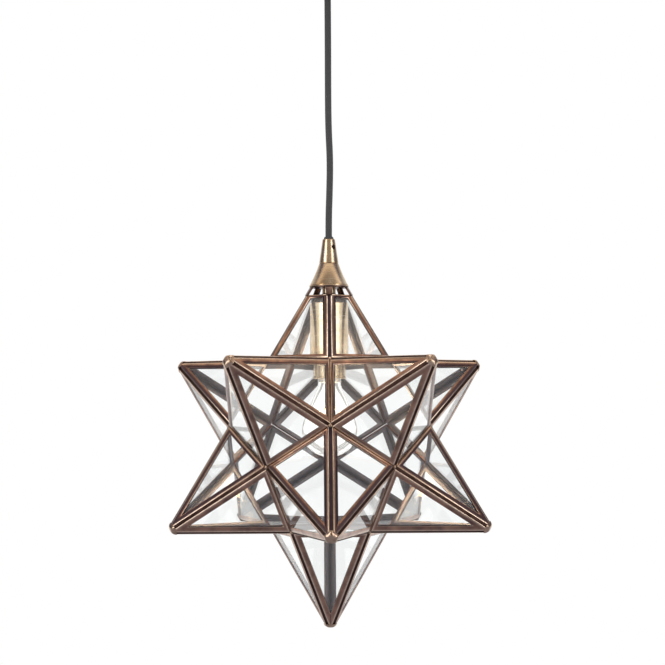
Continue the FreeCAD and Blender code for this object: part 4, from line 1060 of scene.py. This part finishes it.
def make_floor():
    """A pale floor far below. The camera sees it as white, and metal sees it as white only behind the star."""
    data = bpy.data.meshes.new("floor")
    corners = [(x * FLOOR_HALF, y * FLOOR_HALF, FLOOR_LEVEL) for x, y in ((-1, -1), (1, -1), (1, 1), (-1, 1))]
    data.from_pydata(corners, [], [(0, 1, 2, 3)])
    material, tree, shader = new_material("floor_paint")
    connect(tree, shader, {"Base Color": grey(0.8), "Roughness": 0.9})
    away = part_of(tree, outputs(tree, "TexCoord")["Object"], "Y")
    inputs = {"Value": away, "From Min": FLOOR_FADE[0], "From Max": FLOOR_FADE[1]}
    share = outputs(tree, "MapRange", inputs)[0]
    seen_directly(tree, "Material Output", shader.outputs[0], mix_colour(tree, share, BELOW, grey(1.0)))
    data.materials.append(material)
    stage_piece("floor", data)


def make_world():
    """A studio. The camera sees it as white. Metal sees it white behind the star and in a pale strip at each
    side of the camera, dusky between, with one warm band high up, brown above that, and pale at the top."""
    world = bpy.data.worlds.new("studio")
    world.use_nodes = True
    bpy.context.scene.world = world
    tree = world.node_tree
    background = tree.nodes["Background"]
    connect(tree, background, {"Color": grey(0.55)})
    direction = outputs(tree, "TexCoord")["Generated"]
    x, y, z = (part_of(tree, direction, axis) for axis in "XYZ")
    flat = outputs(tree, "CombineXYZ", {"X": x, "Y": y})[0]
    unit = outputs(tree, "VectorMath", {0: flat}, operation="NORMALIZE")[0]
    behind, up = (maths(tree, "MULTIPLY_ADD", way, 0.5, 0.5) for way in (part_of(tree, unit, "Y"), z))
    sky = ramp(tree, behind, (0.0, (0.15, 0.12, 0.12)), (0.08, (0.26, 0.21, 0.19)), (0.14, 1.0), (0.27, 1.0),
               (0.38, (0.26, 0.21, 0.20)), (0.47, DUSK), (0.68, DUSK), (0.84, 0.45), (0.94, 1.0), (1.0, 1.0))
    high = ramp(tree, behind, (0.0, (0.40, 0.34, 0.28)), (0.12, (0.55, 0.48, 0.42)), (0.22, (0.30, 0.26, 0.26)),
                (0.30, LATE_DUSK), (0.62, LATE_DUSK), (0.84, 0.6), (1.0, 1.0))
    for start, end, colour in (
        (0.60, 0.76, high), (0.82, 0.835, WARM_BAND), (0.855, 0.895, BROWN_BAND), (0.965, 0.99, grey(0.75)),
    ):
        sky = mix_colour(tree, ramp(tree, up, (start, 0.0), (end, 1.0)), sky, colour)
    sky = mix_colour(tree, ramp(tree, up, (0.30, 0.0), (0.47, 1.0)), BELOW, sky)
    seen_directly(tree, "World Output", background.outputs[0], sky)


def area_lamp(name, place, width, height, power):
    """A lamp that faces the middle of the star."""
    data = bpy.data.lights.new(name, "AREA")
    data.shape = "RECTANGLE"
    data.size, data.size_y = width, height
    data.energy = power
    thing = stage_piece(name, data)
    thing.location = place
    thing.rotation_euler = (STAR_MIDDLE - Vector(place)).to_track_quat("-Z", "Y").to_euler()


make_floor()
make_world()
area_lamp("left_strip", (-1.25, -1.15, MIDDLE + 0.45), 0.6, 1.5, 7.5)
area_lamp("right_strip", (1.25, -1.05, MIDDLE + 0.25), 0.5, 1.4, 5)
area_lamp("overhead", (0.1, 0.1, MIDDLE + 1.6), 1.2, 1.2, 8)

bulb_light = bpy.data.lights.new("bulb_light", "POINT")
bulb_light.energy = 1.6
bulb_light.color = (1.0, 0.72, 0.42)
bulb_light.shadow_soft_size = 6 * MM
stage_piece("bulb_light", bulb_light).location = (0, 0, MIDDLE + FILAMENT_LEVEL)

scene = bpy.context.scene
scene.view_settings.view_transform = "Standard"
scene.cycles.max_bounces = 40
scene.cycles.transmission_bounces = 40
scene.cycles.transparent_max_bounces = 40
scene.cycles.glossy_bounces = 8
scene.cycles.caustics_reflective = False
scene.cycles.caustics_refractive = False
